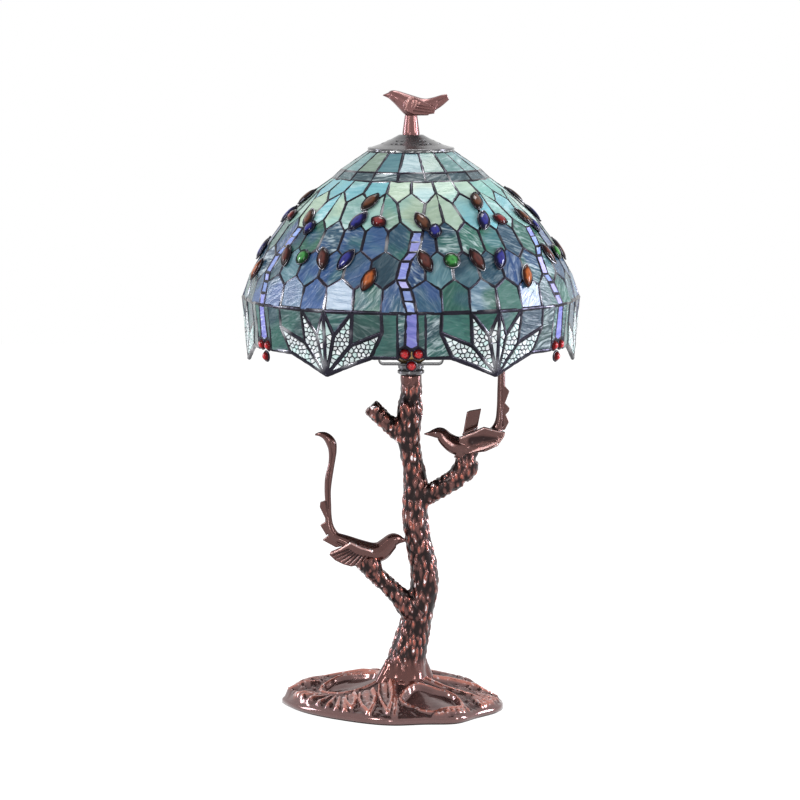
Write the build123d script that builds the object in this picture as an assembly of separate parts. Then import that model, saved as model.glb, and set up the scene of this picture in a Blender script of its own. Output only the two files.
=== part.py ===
from build123d import *

import math
import os

# Stained glass table lamp: a leaded glass dome on a harp, carried by a cast tree with two birds.
# Millimetres, +Z up. The origin is on the floor under the middle of the shade, and the shade's axis is Z.

os.makedirs("parts", exist_ok=True)

# ---- Driving dimensions ----

# Stand
felt_thickness = 1.5
trunk_foot_height = 30.0
trunk_height = 283.0
trunk_top_height = trunk_foot_height + trunk_height
trunk_top_radius = 10.0
root_centre = (-6.0, 0.0)
cord_way_radius = 4.0

# Foot: an outline of (x, y) points, then its rings as (share of the outline, height)
foot_outline = (
    (-120, 14),
    (-98, -24),
    (-60, -55),
    (-12, -73),
    (14, -69),
    (42, -66),
    (60, -46),
    (83, -18),
    (83, 14),
    (58, 44),
    (24, 65),
    (-6, 71),
    (-40, 70),
    (-80, 52),
    (-108, 32),
)
foot_edge_height = 7.5
foot_edge_round = 1.5
foot_rings = ((0.985, felt_thickness + foot_edge_height), (0.7, 14.0), (0.42, 21.0))
foot_hollow = ((0.90, felt_thickness), (0.86, 6.0))
felt_share = 0.97
# Roots on the foot: the place of the tip and its radius
roots = (
    (-100, 14, 4.0),
    (-66, -38, 4.5),
    (-12, -60, 5.0),
    (52, -42, 3.5),
    (70, 6, 4.5),
    (40, 42, 4.0),
    (-24, 58, 4.0),
    (-74, 40, 4.0),
)
# Stations along a root: share of its length, height, radius added to the tip's
root_stations = ((0.12, 26.0, 4.5), (0.4, 17.5, 2.2), (0.7, 12.0, 0.6))
root_tip_radius = 2.0
# Ponds in the foot: centre x, y, half lengths, height of the floor
ponds = ((-57.0, 24.0, 28.0, 17.0, 10.5), (21.0, -36.0, 27.0, 17.0, 10.0))
pond_bank = 3.0
pond_bank_height = 2.2

# Base fittings
hub_radius = 18.0  # of the pocket under the trunk's root
hub_roof = 23.0
tie_plate_thickness = 2.0
base_screw_radius = 2.5
base_screw_spacing = 13.0
screw_depth = 12.0
screw_head_height = 3.2
screw_slot = 1.0
screw_clearance = 0.3
grommet_radius = 3.0
grommet_bore = 1.9
grommet_flange_radius = 3.7
grommet_depth = 6.0
grommet_flange = 1.3
grommet_height = 5.3

# Trunk stations from the top down: x, height, radius. The heights keep their share of the trunk.
trunk_stations = (
    (0.0, 313, trunk_top_radius),
    (-0.8, 290, 10.0),
    (-2.3, 255, 10.6),
    (1.8, 230, 10.2),
    (4.4, 212, 11.4),
    (3.9, 186, 12.0),
    (6.6, 160, 12.2),
    (11.4, 136, 12.8),
    (12.4, 116, 13.1),
    (8.6, 97, 13.5),
    (3.4, 76, 15.0),
    (-1.6, 56, 16.8),
    (-4.6, 42, 18.6),
    (-6.0, 30, 22.0),
)
trunk_stations = tuple(
    (x, 0, trunk_foot_height + (z - 30) / 283 * trunk_height, radius) for x, z, radius in trunk_stations
)
# Branches: the trunk station that each grows from, then offsets from it with the radius
stub_branch = (2, ((1.3, 0, -5, 9.0), (-13.7, 0, 8, 8.2), (-35.2, 0, 28.0, 8.0)))
left_branch = (
    9,
    (
        (-0.6, -1, -9, 9.5),
        (-16.6, -3, 4, 9.4),
        (-32.6, -6, 16, 9.0),
        (-46.0, -8, 29, 9.2),
        (-56.0, -8, 39, 7.6),
        (-57.6, -8, 48, 6.2),
    ),
)
right_branch = (
    5,
    (
        (0.1, 0, 5, 9.0),
        (13.1, -2, 15, 8.6),
        (27.1, -4, 24, 9.4),
        (39.1, -5, 34, 9.2),
        (46.1, -6, 47, 9.0),
        (53.1, -6, 58, 6.6),
    ),
)
dowel_radius, dowel_length = 2.5, 16.0
dowel_back = 5.0  # of the dowel's length before the branch's second station

# Birds: length and the breast's place from the end of the branch
left_bird_length, left_bird_perch = 62.0, (15.4, 0, -5.0)
right_bird_length, right_bird_perch = 62.0, (-14.8, 0, -1.5)
# Tails from inside the rump, as shares of the bird's length: along, up, radius
tail_root = ((0.22, 0.125, 0.050), (0.36, 0.158, 0.044))
tail_spacing = 0.13
left_bird_tail = (
    (0.50, 0.235, 0.050),
    (0.63, 0.42, 0.050),
    (0.715, 0.72, 0.056),
    (0.745, 1.02, 0.060),
    (0.72, 1.36, 0.058),
    (0.67, 1.66, 0.060),
    (0.70, 1.82, 0.066),
    (0.79, 1.93, 0.070),
    (0.86, 1.95, 0.040),
)
right_bird_tail = (
    (0.47, 0.20, 0.048),
    (0.56, 0.34, 0.050),
    (0.615, 0.58, 0.058),
    (0.645, 0.88, 0.062),
    (0.66, 1.18, 0.058),
    (0.645, 1.52, 0.050),
    (0.61, 1.84, 0.030),
)
finial_bird_tail = ((0.47, 0.225, 0.040), (0.57, 0.31, 0.036))

# Neck
nipple_radius = 4.9
nipple_bore = 3.6
nipple_depth = 21.0  # in the trunk
nipple_rise = 17.0
thread_clearance = 0.05
collar_height = 8.5
# Collar outline from the bottom: radius, share of its height
collar_outline = ((11.0, 0.0), (12.4, 0.14), (12.4, 0.38), (10.8, 0.52), (12.0, 0.7), (12.0, 1.0))

# Harp
harp_rise = 216.5  # from the trunk's top to the shoulder that the shade sits on
saddle_thickness = 1.6
saddle_half_span = 30.0
saddle_width = 13.0
saddle_bend = 5.0
saddle_arm = 15.5  # height of its upright ends
peg_rise = 6.0
harp_wire = 2.3  # radius
harp_half_width = 52.0
harp_flat = 14.0  # half length of its level top
harp_bend = 13.0
harp_shoulders = (16.0, 52.0)  # where the wire starts and ends its way outwards, above its foot
harp_crown = 58.0  # height of its upper part
ferrule_length = 15.0
ferrule_wall = 1.2
hub_depth = 15.0  # from the shoulder of the stud to the underside of the wire's hub
stud_radius = 3.1
stud_rise = 14.5

# Socket and its turn key
socket_radius = 17.0
socket_wall = 0.8
socket_rise = 8.0  # of the shell's foot above the saddle
shell_length = 48.9
shell_bead = 0.8
core_height = 20.4
cup_cover = 8.0  # how far the cup reaches up over the shell
nut_across, nut_height = 7.0, 3.4
key_rise = 22.9  # of the key's axis above the saddle
key_stem_radius = 2.2
key_reach = 31.0
key_grip = (15.0, 8.0, 4.0)
key_depth = 6.0

# Bulb
bulb_base_radius = 13.2
bulb_radius = 30.0
bulb_length = 110.0
bulb_wall = 1.0
contact_gap = 1.85

# Fastening of the shade
seat_height = trunk_top_height + harp_rise
seat_washer_thickness = 1.2
seat_washer_radius = 10.0
turning_clearance = 0.08
face_clearance = 0.1

# Cap: outline of its flank from the seat outwards as (radius, drop below the seat)
cap_thickness = 0.9
cap_seat_radius = 11.0
cap_flank = ((17.4, 3.5), (29.3, 8.9), (38.2, 11.7))
cap_rim_bead = 1.2
vent_radius = 1.5
# Rows of vents in one group: radius of the row, and the vents' angles in it
vent_rows = ((20.5, (-7.0, 7.0)), (26.0, (-11.0, 0.0, 11.0)))

# Finial
finial_bottom_radius, finial_top_radius = 7.8, 5.7
finial_stem_height = 17.4
finial_insert_radius = 5.0
finial_bird_length = 58.5
finial_bird_seat = 2.2  # depth of the flat under the bird
finial_head_lift = 0.09

# Shade. Its heights are drops below the cap's seat.
sectors = 6
sector_angle = 360 / sectors
shade_radius = 153.0  # at the widest line, where the dome meets the flat border
crown_radius, crown_height = 38.5, seat_height - 13.5  # upper edge of the crown panes
band_radius, band_height = 62.7, seat_height - 30.0  # seam between the crown panes and the dark band
dome_radius, dome_height = 70.5, seat_height - 37.5  # seam between the band and the flame panes
border_top = seat_height - 145.5
ridge_bottom = seat_height - 201.5
dome_bulge = 11.8  # how far the dome's arc stands out from its chord
border_taper = 0.09  # how fast the border's radius shrinks below its top, per mm
came_width = 2.8
came_height = 4.0
pane_thickness = 2.6
crown_panes_per_sector = 3
top_panes_per_sector = 4  # in the course under the band
panes_per_sector = 6  # in the courses below it
# Heights of the corners of the five staggered courses, as shares of the way from the band to the border
course_shares = (0, 0, 0.09, 0.16, 0.305, 0.375, 0.53, 0.60, 0.745, 0.815, 1, 1)
course_heights = [dome_height * (1 - share) + border_top * share for share in course_shares]

# Motif: a violet stem with a bell-shaped bud and berries, between fans of petals at the ridges
stem_width = 9.0
stem_piece = 11.0  # about the length of the stem's pieces
stem_azimuths = (2.6, 0.8, -2.2, -3.6, -1.8, 0.0)  # degrees, where the stem crosses the courses
bud_facet_angle = 4.5  # half of the flat facet that carries the bud
bud_height = 28.5
bud_shoulder_rise = 9.0  # of the bud's side seams above the berries
fan_reach = 36.0  # from the foot of a fan to where its petals are widest
fan_angles = (14.0, 42.0)  # seams between petals, from the vertical
# Places on the fan as a distance from its foot and an angle: tip of the second petal, and the hem
second_petal_tip = (66.0, 54.0)
hem_end = (46.0, 68.5)
hem_bend = (24.0, 67.5)

# Jewels on the crossings
jewel_length, jewel_width, jewel_height = 20.0, 11.5, 4.0
round_jewel = 13.0
jewel_bedding = 0.7  # solder between a jewel's flat back and the crossing under it
# Jewels of one sector: node, azimuth, course height (between two when it isn't whole), tilt, length, width
jewel_places = (
    ("amber_jewels", -22.5, 3, -24, jewel_length, jewel_width),
    ("amber_jewels", 5.0, 4, 26, jewel_length, jewel_width),
    ("cobalt_jewels", -25.0, 4, -28, jewel_length, jewel_width),
    ("cobalt_jewels", 10.0, 5, -12, round_jewel, jewel_width),
    ("cobalt_jewels", -25.0, 7, -28, jewel_length, jewel_width),
    ("red_jewels", -15.0, 4, 60, round_jewel, jewel_width),
    ("green_jewels", 15.0, 7, 0, round_jewel, round_jewel),
    ("brown_jewels", 5.0, 7, 24, jewel_length, jewel_width),
    ("brown_jewels", 25.0, 7, 20, jewel_length, jewel_width),
    ("orange_jewels", -15.0, 8, -22, jewel_length, jewel_width),
)

STANDING = (Align.CENTER, Align.CENTER, Align.MIN)
BORDER_NODES = ("ground_panes", "petal_panes", "berries", "bud_panes")

# ---- Small helpers ----


def save(node, *solids):
    """Writes one node's solids to its own file."""
    export_step(Compound(list(solids)), f"parts/{node}.step")


def turned(*outline):
    """A solid of revolution about Z from (radius, height) corners."""
    return revolve(Plane.XZ * make_face(Polyline(*outline, close=True)), Axis.Z).solid()


def tube(outer, inner, low, high):
    return turned((inner, low), (outer, low), (outer, high), (inner, high))


def rod(start, end, radius):
    """A round bar between two points."""
    start, end = Vector(*start), Vector(*end)
    along = Plane(origin=start, z_dir=end - start)
    return extrude(along * Circle(radius), (end - start).length).solid()


def limb(*stations, side=(0, 1, 0), spacing=None):
    """A tapering round limb through (x, y, z, radius) stations. side lies across every section. With a
    spacing, the sections are laid out evenly along a curve through the stations."""
    centres = [Vector(*station[:3]) for station in stations]
    radii = [station[3] for station in stations]
    if spacing:
        line = Spline(*centres)
        marks = [line.param_at_point(centre) for centre in centres]
        count = math.ceil(line.length / spacing)
        shares = [index / count for index in range(count + 1)]
        radii = [eased(share, marks, radii) for share in shares]
        centres = [line.position_at(share) for share in shares]
    sections = []
    for index, (centre, radius) in enumerate(zip(centres, radii)):
        before = centres[max(index - 1, 0)]
        after = centres[min(index + 1, len(centres) - 1)]
        sections.append(Plane(origin=centre, x_dir=side, z_dir=after - before) * Circle(radius))
    return loft(sections).solid()


def eased(place, marks, values):
    """The value at a place between marks, along straight lines from mark to mark."""
    for low, high, start, end in zip(marks, marks[1:], values, values[1:]):
        if place <= high:
            return start + (end - start) * (place - low) / (high - low)
    return values[-1]


def polygon_face(points):
    return Face(Wire.make_polygon(points, close=True))


def stacked(*rings):
    """A closed solid through rings of matching points, with flat ends."""
    faces = [polygon_face(rings[0]), polygon_face(rings[-1])]
    for lower, upper in zip(rings, rings[1:]):
        for index in range(len(lower)):
            following = (index + 1) % len(lower)
            faces.append(polygon_face([lower[index], lower[following], upper[following], upper[index]]))
    return Solid(Shell(faces))


def all_round(solids):
    """Copies of one sector's solids in every sector."""
    return [Rot(Z=sector_angle * turn) * solid for turn in range(sectors) for solid in solids]


# ---- The shade's surface ----
# A place on the shade is (azimuth in degrees, height). Azimuth 0 is the middle of the sector that faces -Y.

ridge_angle = sector_angle / 2
border_corners = (-ridge_angle, -bud_facet_angle, bud_facet_angle, ridge_angle)  # fold lines
berry_radius = shade_radius * math.sin(math.radians(bud_facet_angle)) / math.sqrt(3)

_chord = Vector(shade_radius - dome_radius, 0, border_top - dome_height)
_chord_normal = Vector(-_chord.Z, 0, _chord.X).normalized()
_arc_radius = (_chord.length**2 / 4 + dome_bulge**2) / (2 * dome_bulge)
_arc_centre = (
    Vector(dome_radius, 0, dome_height) + _chord * 0.5 - _chord_normal * (_arc_radius - dome_bulge)
)


def surface_radius(height):
    """Radius of the shade's middle surface on its corner lines."""
    if height >= band_height:
        share = (height - band_height) / (crown_height - band_height)
        return band_radius + share * (crown_radius - band_radius)
    if height >= dome_height:
        share = (height - dome_height) / (band_height - dome_height)
        return dome_radius + share * (band_radius - dome_radius)
    if height > border_top:
        return _arc_centre.X + math.sqrt(_arc_radius**2 - (height - _arc_centre.Z) ** 2)
    return shade_radius - border_taper * (border_top - height)


def polar(azimuth, radius, height):
    """The point at an azimuth that is counted from -Y towards +X."""
    turn = math.radians(azimuth)
    return Vector(radius * math.sin(turn), -radius * math.cos(turn), height)


def fold_lines(azimuth):
    """The border's fold lines on both sides of an azimuth."""
    turns = math.floor((azimuth + sector_angle / 2) / sector_angle)
    inside = azimuth - turns * sector_angle
    for low, high in zip(border_corners, border_corners[1:]):
        if inside <= high:
            return low + turns * sector_angle, high + turns * sector_angle
    return border_corners[-2] + turns * sector_angle, border_corners[-1] + turns * sector_angle


def on_shade(azimuth, height):
    radius = surface_radius(height)
    if height > border_top:
        return polar(azimuth, radius, height)
    low, high = fold_lines(azimuth)
    share = (azimuth - low) / (high - low)
    return polar(low, radius, height) * (1 - share) + polar(high, radius, height) * share


def panel_normal(low, high):
    """The outward normal of the flat border panel between two fold lines."""
    middle = (low + high) / 2
    lean = math.atan(border_taper * math.cos(math.radians(high - low) / 2))
    level = polar(middle, 1, 0)
    return level * math.cos(lean) - Vector(0, 0, math.sin(lean))


def outward(azimuth, height):
    """The direction in which the lead's thickness is laid off at a place on the shade."""
    if height > border_top:
        step = 0.5
        slope = surface_radius(height + step) - surface_radius(height - step)
        lean = math.atan2(-slope, 2 * step)
        return polar(azimuth, math.cos(lean), math.sin(lean))
    low, high = fold_lines(azimuth)
    normal = panel_normal(low, high)
    for line, side in ((low, -1), (high, 1)):
        if abs(azimuth - line) < 1e-6:
            beside = panel_normal(*fold_lines(line + side * 1e-3))
            return (normal + beside) / (1 + normal.dot(beside))
    return normal


# ---- The glass pattern of one sector, as outlines of (azimuth, height) places ----


def degrees_across(distance, height):
    """The azimuth that a distance along the shade takes at a height."""
    return math.degrees(distance / surface_radius(height))


def crown_outlines(top, bottom):
    step = sector_angle / crown_panes_per_sector
    starts = [-sector_angle / 2 + step * index for index in range(crown_panes_per_sector)]
    return [[(a, top), (a, bottom), (a + step, bottom), (a + step, top)] for a in starts]


def course_outlines(course, panes):
    """The staggered long hexagons of one course. The first course starts flat, and the last ends flat."""
    step = sector_angle / panes
    top, shoulder, hip, bottom = course_heights[2 * course : 2 * course + 4]
    first = (-sector_angle + step) / 2 + (step / 2 if course % 2 else 0)
    outlines = []
    for index in range(panes):
        middle = first + index * step
        left, right = middle - step / 2, middle + step / 2
        peak = [] if top == shoulder else [(middle, top)]
        point = [] if bottom == hip else [(middle, bottom)]
        outlines.append(peak + [(left, shoulder), (left, hip)] + point + [(right, hip), (right, shoulder)])
    return outlines


def widening_outlines():
    """The second course, which leads from four pieces a sector to six. Between its wide pieces, every
    other tooth of the course above is parted by a seam between two narrow ones."""
    wide, narrow = sector_angle / top_panes_per_sector, sector_angle / panes_per_sector
    top, shoulder, hip, bottom = course_heights[2:6]
    outlines = []
    for seam in (-wide, wide):
        middle = seam + wide
        for side in (-1, 1):
            outline = [(seam, top), (seam + side * wide / 2, shoulder), (seam + side * narrow, hip)]
            outline += [(seam + side * narrow / 2, bottom), (seam, hip)]
            outlines.append(outline[::-side])
        left_side = [(middle - wide / 2, shoulder), (middle - narrow / 2, hip)]
        right_side = [(middle + narrow / 2, hip), (middle + wide / 2, shoulder)]
        outlines.append([(middle, top)] + left_side + [(middle, bottom)] + right_side)
    return outlines


def stem_seats():
    """The seam corners that the stem runs along, with the places they move to on its two sides."""
    step = sector_angle / panes_per_sector
    lattice = (0.0, 0.0, -step / 2, -step / 2, 0.0, 0.0)
    heights = course_heights[5:11]
    seats = {}
    for corner, azimuth, height in zip(lattice, stem_azimuths, heights):
        half = degrees_across(stem_width / 2, height)
        seats[(corner, height)] = ((azimuth - half, height), (azimuth + half, height))
    return seats


def part_for_stem(outline, seats):
    """Moves an outline's corners aside to leave the stem's width free."""
    touched = [corner for corner in outline if corner in seats]
    if not touched:
        return outline
    middle = sum(azimuth for azimuth, _ in outline) / len(outline)
    stem_middle = sum((seats[c][0][0] + seats[c][1][0]) / 2 for c in touched) / len(touched)
    parted = []
    for corner in outline:
        if corner not in seats:
            parted.append(corner)
        elif len(touched) == 1:
            parted.extend(seats[corner])
        else:
            parted.append(seats[corner][0 if middle < stem_middle else 1])
    return parted


def stem_outlines(seats):
    """The stem's violet pieces, between its two sides."""
    outlines = []
    rows = list(seats.values())
    for (left, right), (next_left, next_right) in zip(rows, rows[1:]):
        pieces = max(1, round((left[1] - next_left[1]) / stem_piece))
        for index in range(pieces):
            cuts = [index / pieces, (index + 1) / pieces]
            upper, lower = [
                [
                    (a[0] + (b[0] - a[0]) * cut, a[1] + (b[1] - a[1]) * cut)
                    for a, b in ((left, next_left), (right, next_right))
                ]
                for cut in cuts
            ]
            outlines.append([upper[0], lower[0], lower[1], upper[1]])
    return outlines


def wing_place(across, height):
    """A place on the border's wing panel: across is measured along the panel from the middle facet's fold."""
    low, high = border_corners[2:]
    span = 2 * shade_radius * math.sin(math.radians(high - low) / 2)
    return low + (high - low) * across / span, height


def fan_place(distance, angle):
    """A place on the wing panel measured from the foot of the ridge's fan, angle from the vertical."""
    low, high = border_corners[2:]
    span = 2 * shade_radius * math.sin(math.radians(high - low) / 2)
    turn = math.radians(angle)
    return wing_place(span - distance * math.sin(turn), ridge_bottom + distance * math.cos(turn))


def border_outlines(seats):
    """The right half of the border, then its mirror image, with the bud and berries between."""
    fold = border_corners[2]
    inner, middle = fan_angles
    foot = fan_place(0, 0)
    ridge_top = (border_corners[3], border_top)
    top_seam, first_tip = [(seam * sector_angle / panes_per_sector, border_top) for seam in (1, 2)]
    seams = [fan_place(fan_reach, angle) for angle in (inner, middle)]
    second_tip = fan_place(*second_petal_tip)
    hem = fan_place(*hem_end)
    hem_middle = fan_place(*hem_bend)
    berry_top = border_top - bud_height
    across = bud_facet_angle / 2
    level = [berry_top - berry_radius * share for share in (0, 0.5, 1.5, 2, 3, 3.5)]
    stem_foot = list(seats.values())[-1]
    stem_edge = stem_foot[1]
    bud_shoulder = (fold, berry_top + bud_shoulder_rise)
    berry_outer = [(2 * across, level[1]), (2 * across, level[2])]
    ground = [
        [stem_edge, (across, berry_top), berry_outer[0], bud_shoulder, (fold, border_top)],
        [(fold, border_top), bud_shoulder, berry_outer[0], berry_outer[1], hem, second_tip, top_seam],
        [top_seam, second_tip, seams[1], first_tip],
        [first_tip, seams[0], ridge_top],
    ]
    petals = [
        [ridge_top, seams[0], foot],
        [first_tip, seams[1], foot, seams[0]],
        [second_tip, hem, hem_middle, foot, seams[1]],
    ]
    berry = [(0, level[1]), (-across, level[0]), (-2 * across, level[1])]
    berry += [(-2 * across, level[2]), (-across, level[3]), (0, level[2])]
    drop = [(-across, level[3]), (-across, level[4]), (0, level[5]), (across, level[4]), (across, level[3])]
    bud = [stem_foot[0], (-across, berry_top), (0, level[1]), (across, berry_top), stem_edge]

    def both(outlines):
        return outlines + [[(-a, h) for a, h in reversed(outline)] for outline in outlines]

    return {
        "ground_panes": both(ground),
        "petal_panes": both(petals),
        "berries": both([berry]) + [[(0, level[2])] + drop],
        "bud_panes": [bud],
    }


def sector_pattern():
    """Every outline of one sector, by the node that its glass belongs to."""
    seats = stem_seats()
    flames = course_outlines(0, top_panes_per_sector) + widening_outlines()
    courses = [flames] + [course_outlines(course, panes_per_sector) for course in (2, 3, 4)]
    courses = [[part_for_stem(outline, seats) for outline in outlines] for outlines in courses]
    pattern = {
        "crown_panes": crown_outlines(crown_height, band_height),
        "band_panes": crown_outlines(band_height, dome_height),
        "flame_panes": courses[0],
        "sky_panes": courses[1],
        "water_panes": courses[2],
        "deep_panes": courses[3],
        "stem_panes": stem_outlines(seats),
    }
    pattern.update(border_outlines(seats))
    return pattern


# ---- Lead and glass ----


def with_joints(outline, corners):
    """The outline with every other piece's corner that lies on one of its seams."""
    joined = []
    for start, end in zip(outline, outline[1:] + outline[:1]):
        joined.append(start)
        run = Vector(end[0] - start[0], end[1] - start[1])
        on_seam = []
        for corner in corners:
            offset = Vector(corner[0] - start[0], corner[1] - start[1])
            share = offset.dot(run) / run.dot(run)
            if 1e-4 < share < 1 - 1e-4 and (offset - run * share).length < 1e-4:
                on_seam.append((share, corner))
        joined.extend(corner for _, corner in sorted(on_seam))
    return joined


def cell_plane(points):
    """The plane through a cell's middle that fits its corners best, facing outwards."""
    middle = sum(points, Vector(0, 0, 0)) / len(points)
    normal = Vector(0, 0, 0)
    for start, end in zip(points, points[1:] + points[:1]):
        normal += (start - middle).cross(end - middle)
    if normal.dot(Vector(middle.X, middle.Y, 0)) < 0:
        normal = normal * -1
    return Plane(origin=middle, x_dir=Vector(0, 0, 1).cross(normal), z_dir=normal)


def inset(points, distance):
    """A flat ring of points moved inwards by the same distance from every edge."""
    area = sum(a.X * b.Y - b.X * a.Y for a, b in zip(points, points[1:] + points[:1]))
    side = 1 if area > 0 else -1
    moved = []
    for before, here, after in zip(points[-1:] + points[:-1], points, points[1:] + points[:1]):
        arriving, leaving = (here - before).normalized(), (after - here).normalized()
        normals = [Vector(-run.Y, run.X) * side for run in (arriving, leaving)]
        moved.append(here + (normals[0] + normals[1]) * (distance / (1 + normals[0].dot(normals[1]))))
    return moved


def quad_faces(corners):
    """One flat face, or two triangles that meet along the diagonal from the highest corner."""
    normal = (corners[1] - corners[0]).cross(corners[2] - corners[0]).normalized()
    if abs((corners[3] - corners[0]).dot(normal)) < 1e-6:
        return [polygon_face(corners)]
    first = max(range(4), key=lambda index: corners[index].Z)
    a, b, c, d = corners[first:] + corners[:first]
    return [polygon_face([a, b, c]), polygon_face([a, c, d])]


def glazed(outline):
    """A pane and the lead round it: the pane's solid, and the lead's faces and outer edges."""
    points = [on_shade(*place) for place in outline]
    ways = [outward(*place) for place in outline]
    plane = cell_plane(points)
    flat = [plane.to_local_coords(point) for point in points]
    window = [Vector(p.X, p.Y) for p in inset([Vector(p.X, p.Y) for p in flat], came_width / 2)]

    def level(height):
        return [plane.from_local_coords(Vector(p.X, p.Y, height)) for p in window]

    pane = stacked(level(-pane_thickness / 2), level(pane_thickness / 2))
    rims = [level(-came_height / 2), level(came_height / 2)]
    edges = [[p + way * (came_height / 2 * side) for p, way in zip(points, ways)] for side in (-1, 1)]
    faces = []
    for side, rim, edge in zip((-1, 1), rims, edges):
        off_plane = [abs(plane.to_local_coords(p).Z - side * came_height / 2) for p in edge]
        if max(off_plane) < 1e-6:
            faces.append(Face(Wire.make_polygon(edge, close=True), [Wire.make_polygon(rim, close=True)]))
            continue
        for index in range(len(rim)):
            after = (index + 1) % len(rim)
            faces.extend(quad_faces([edge[index], edge[after], rim[after], rim[index]]))
    for index in range(len(window)):
        after = (index + 1) % len(window)
        faces.append(polygon_face([rims[0][index], rims[0][after], rims[1][after], rims[1][index]]))
    sides = {}
    for index, place in enumerate(outline):
        after = (index + 1) % len(outline)
        key = frozenset(tuple(round(value, 4) for value in end) for end in (place, outline[after]))
        sides[key] = [edges[0][index], edges[0][after], edges[1][after], edges[1][index]]
    return pane, faces, sides


def leaded_glass(pattern):
    """One sector's panes by node, and the lead of its dome and of its border."""
    turns = (-sector_angle, 0, sector_angle)
    outlines = [outline for cells in pattern.values() for outline in cells]
    corners = {(a + turn, h) for outline in outlines for a, h in outline for turn in turns}
    panes, leads = {}, {}
    for node, cells in pattern.items():
        panes[node] = []
        lead = "border_came" if node in BORDER_NODES else "dome_came"
        faces, open_sides = leads.setdefault(lead, ([], {}))
        for outline in cells:
            pane, cell_faces, sides = glazed(with_joints(outline, corners))
            panes[node].append(pane)
            faces.extend(cell_faces)
            for key, side in sides.items():
                if open_sides.pop(key, None) is None:
                    open_sides[key] = side
    came = {}
    for lead, (faces, open_sides) in leads.items():
        walls = [face for side in open_sides.values() for face in quad_faces(side)]
        came[lead] = Solid(Shell(faces + walls))
    return panes, came


def cabochon(azimuth, height, tilt, length, width):
    """A six-sided domed jewel on a crossing of the seams, its long axis tilted from the slope's line."""
    rise = outward(azimuth, height)
    seat = on_shade(azimuth, height) + rise * (came_height / 2 + jewel_bedding)
    plane = Plane(origin=seat, x_dir=polar(azimuth + 90, 1, 0), z_dir=rise)
    rings = []
    for share, level in ((1.0, 0.0), (0.92, 0.35), (0.5, 1.0)):
        ring = []
        for corner in range(6):
            turn = math.radians(60 * corner + 30)
            across, along = width / 2 * math.cos(turn), length / 2 * math.sin(turn)
            place = Vector(across * share, along * share, jewel_height * level)
            ring.append(plane.from_local_coords(place.rotate(Axis.Z, tilt)))
        rings.append(ring)
    return stacked(*rings)


def crossing_height(course):
    """The height of a course's corners, or of a place between two when course isn't whole."""
    lower = math.floor(course)
    upper = math.ceil(course)
    return course_heights[lower] + (course_heights[upper] - course_heights[lower]) * (course - lower)


def make_shade():
    panes, came = leaded_glass(sector_pattern())
    for node, solids in {**panes, **{lead: [solid] for lead, solid in came.items()}}.items():
        save(node, *all_round(solids))
    jewels = {}
    for node, azimuth, course, tilt, length, width in jewel_places:
        jewel = cabochon(azimuth, crossing_height(course), tilt, length, width)
        jewels.setdefault(node, []).append(jewel)
    for node, solids in jewels.items():
        save(node, *all_round(solids))


# ---- Cap and finial ----

cap_low = seat_height + seat_washer_thickness + face_clearance / 2  # underside of the cap's seat
cap_high = cap_low + cap_thickness


def make_cap():
    """A spun cap: flat seat, hollow flank, rolled rim, and groups of vents in its flank."""
    bore = stud_radius + turning_clearance
    underside = [(bore, cap_low), (cap_seat_radius, cap_low)]
    underside += [(radius, cap_low - drop) for radius, drop in cap_flank]
    topside = [(radius, height + cap_thickness) for radius, height in reversed(underside)]
    cap = turned(*underside, *topside)
    rim_radius, rim_height = underside[-1]
    cap += revolve(Plane.XZ * Pos(rim_radius, rim_height) * Circle(cap_rim_bead), Axis.Z)
    drill = Cylinder(vent_radius, 2 * cap_flank[-1][1])
    for group in range(sectors):
        for radius, angles in vent_rows:
            for angle in angles:
                cap -= Pos(*polar((group + 0.5) * sector_angle + angle, radius, cap_low)) * drill
    save("vented_cap", cap.solid())


def make_finial():
    """The stem, its threaded insert and the bird on top."""
    foot = cap_high + face_clearance / 2
    top = foot + finial_stem_height
    insert_top = seat_height + stud_rise + 1
    stem = turned(
        (finial_insert_radius, foot),
        (finial_bottom_radius, foot),
        (finial_bottom_radius, foot + 2),
        (finial_top_radius, top),
        (0, top),
        (0, insert_top),
        (finial_insert_radius, insert_top),
    )
    save("finial_stem", stem)
    save("finial_insert", tube(finial_insert_radius, stud_radius + turning_clearance, foot, insert_top))
    perch = (0, 0, top - finial_bird_seat)
    bird = songbird(finial_bird_length, perch, tail=finial_bird_tail, head_lift=finial_head_lift)
    bird = bird & Pos(0, 0, top) * Cylinder(finial_bird_length, finial_bird_length, align=STANDING)
    save("finial_bird", bird.solid())


# Body stations of a small bird that looks towards -X, as shares of its length: along, up, radius
bird_body = (
    (-0.44, 0.260, 0.006),
    (-0.36, 0.268, 0.030),
    (-0.31, 0.285, 0.075),
    (-0.24, 0.280, 0.095),
    (-0.14, 0.215, 0.105),
    (-0.02, 0.150, 0.132),
    (0.12, 0.120, 0.128),
    (0.26, 0.130, 0.090),
    (0.38, 0.165, 0.052),
)
bird_wing = ((-0.12, 0.09), (0.05, 0.10), (0.34, 0.0), (0.06, -0.10), (-0.12, -0.03))
bird_wing_thickness = 0.035
bird_shoulder = (0.02, 0.115, 0.15)
wing_rest = -12.0  # lean of the folded wings from the upright


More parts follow.
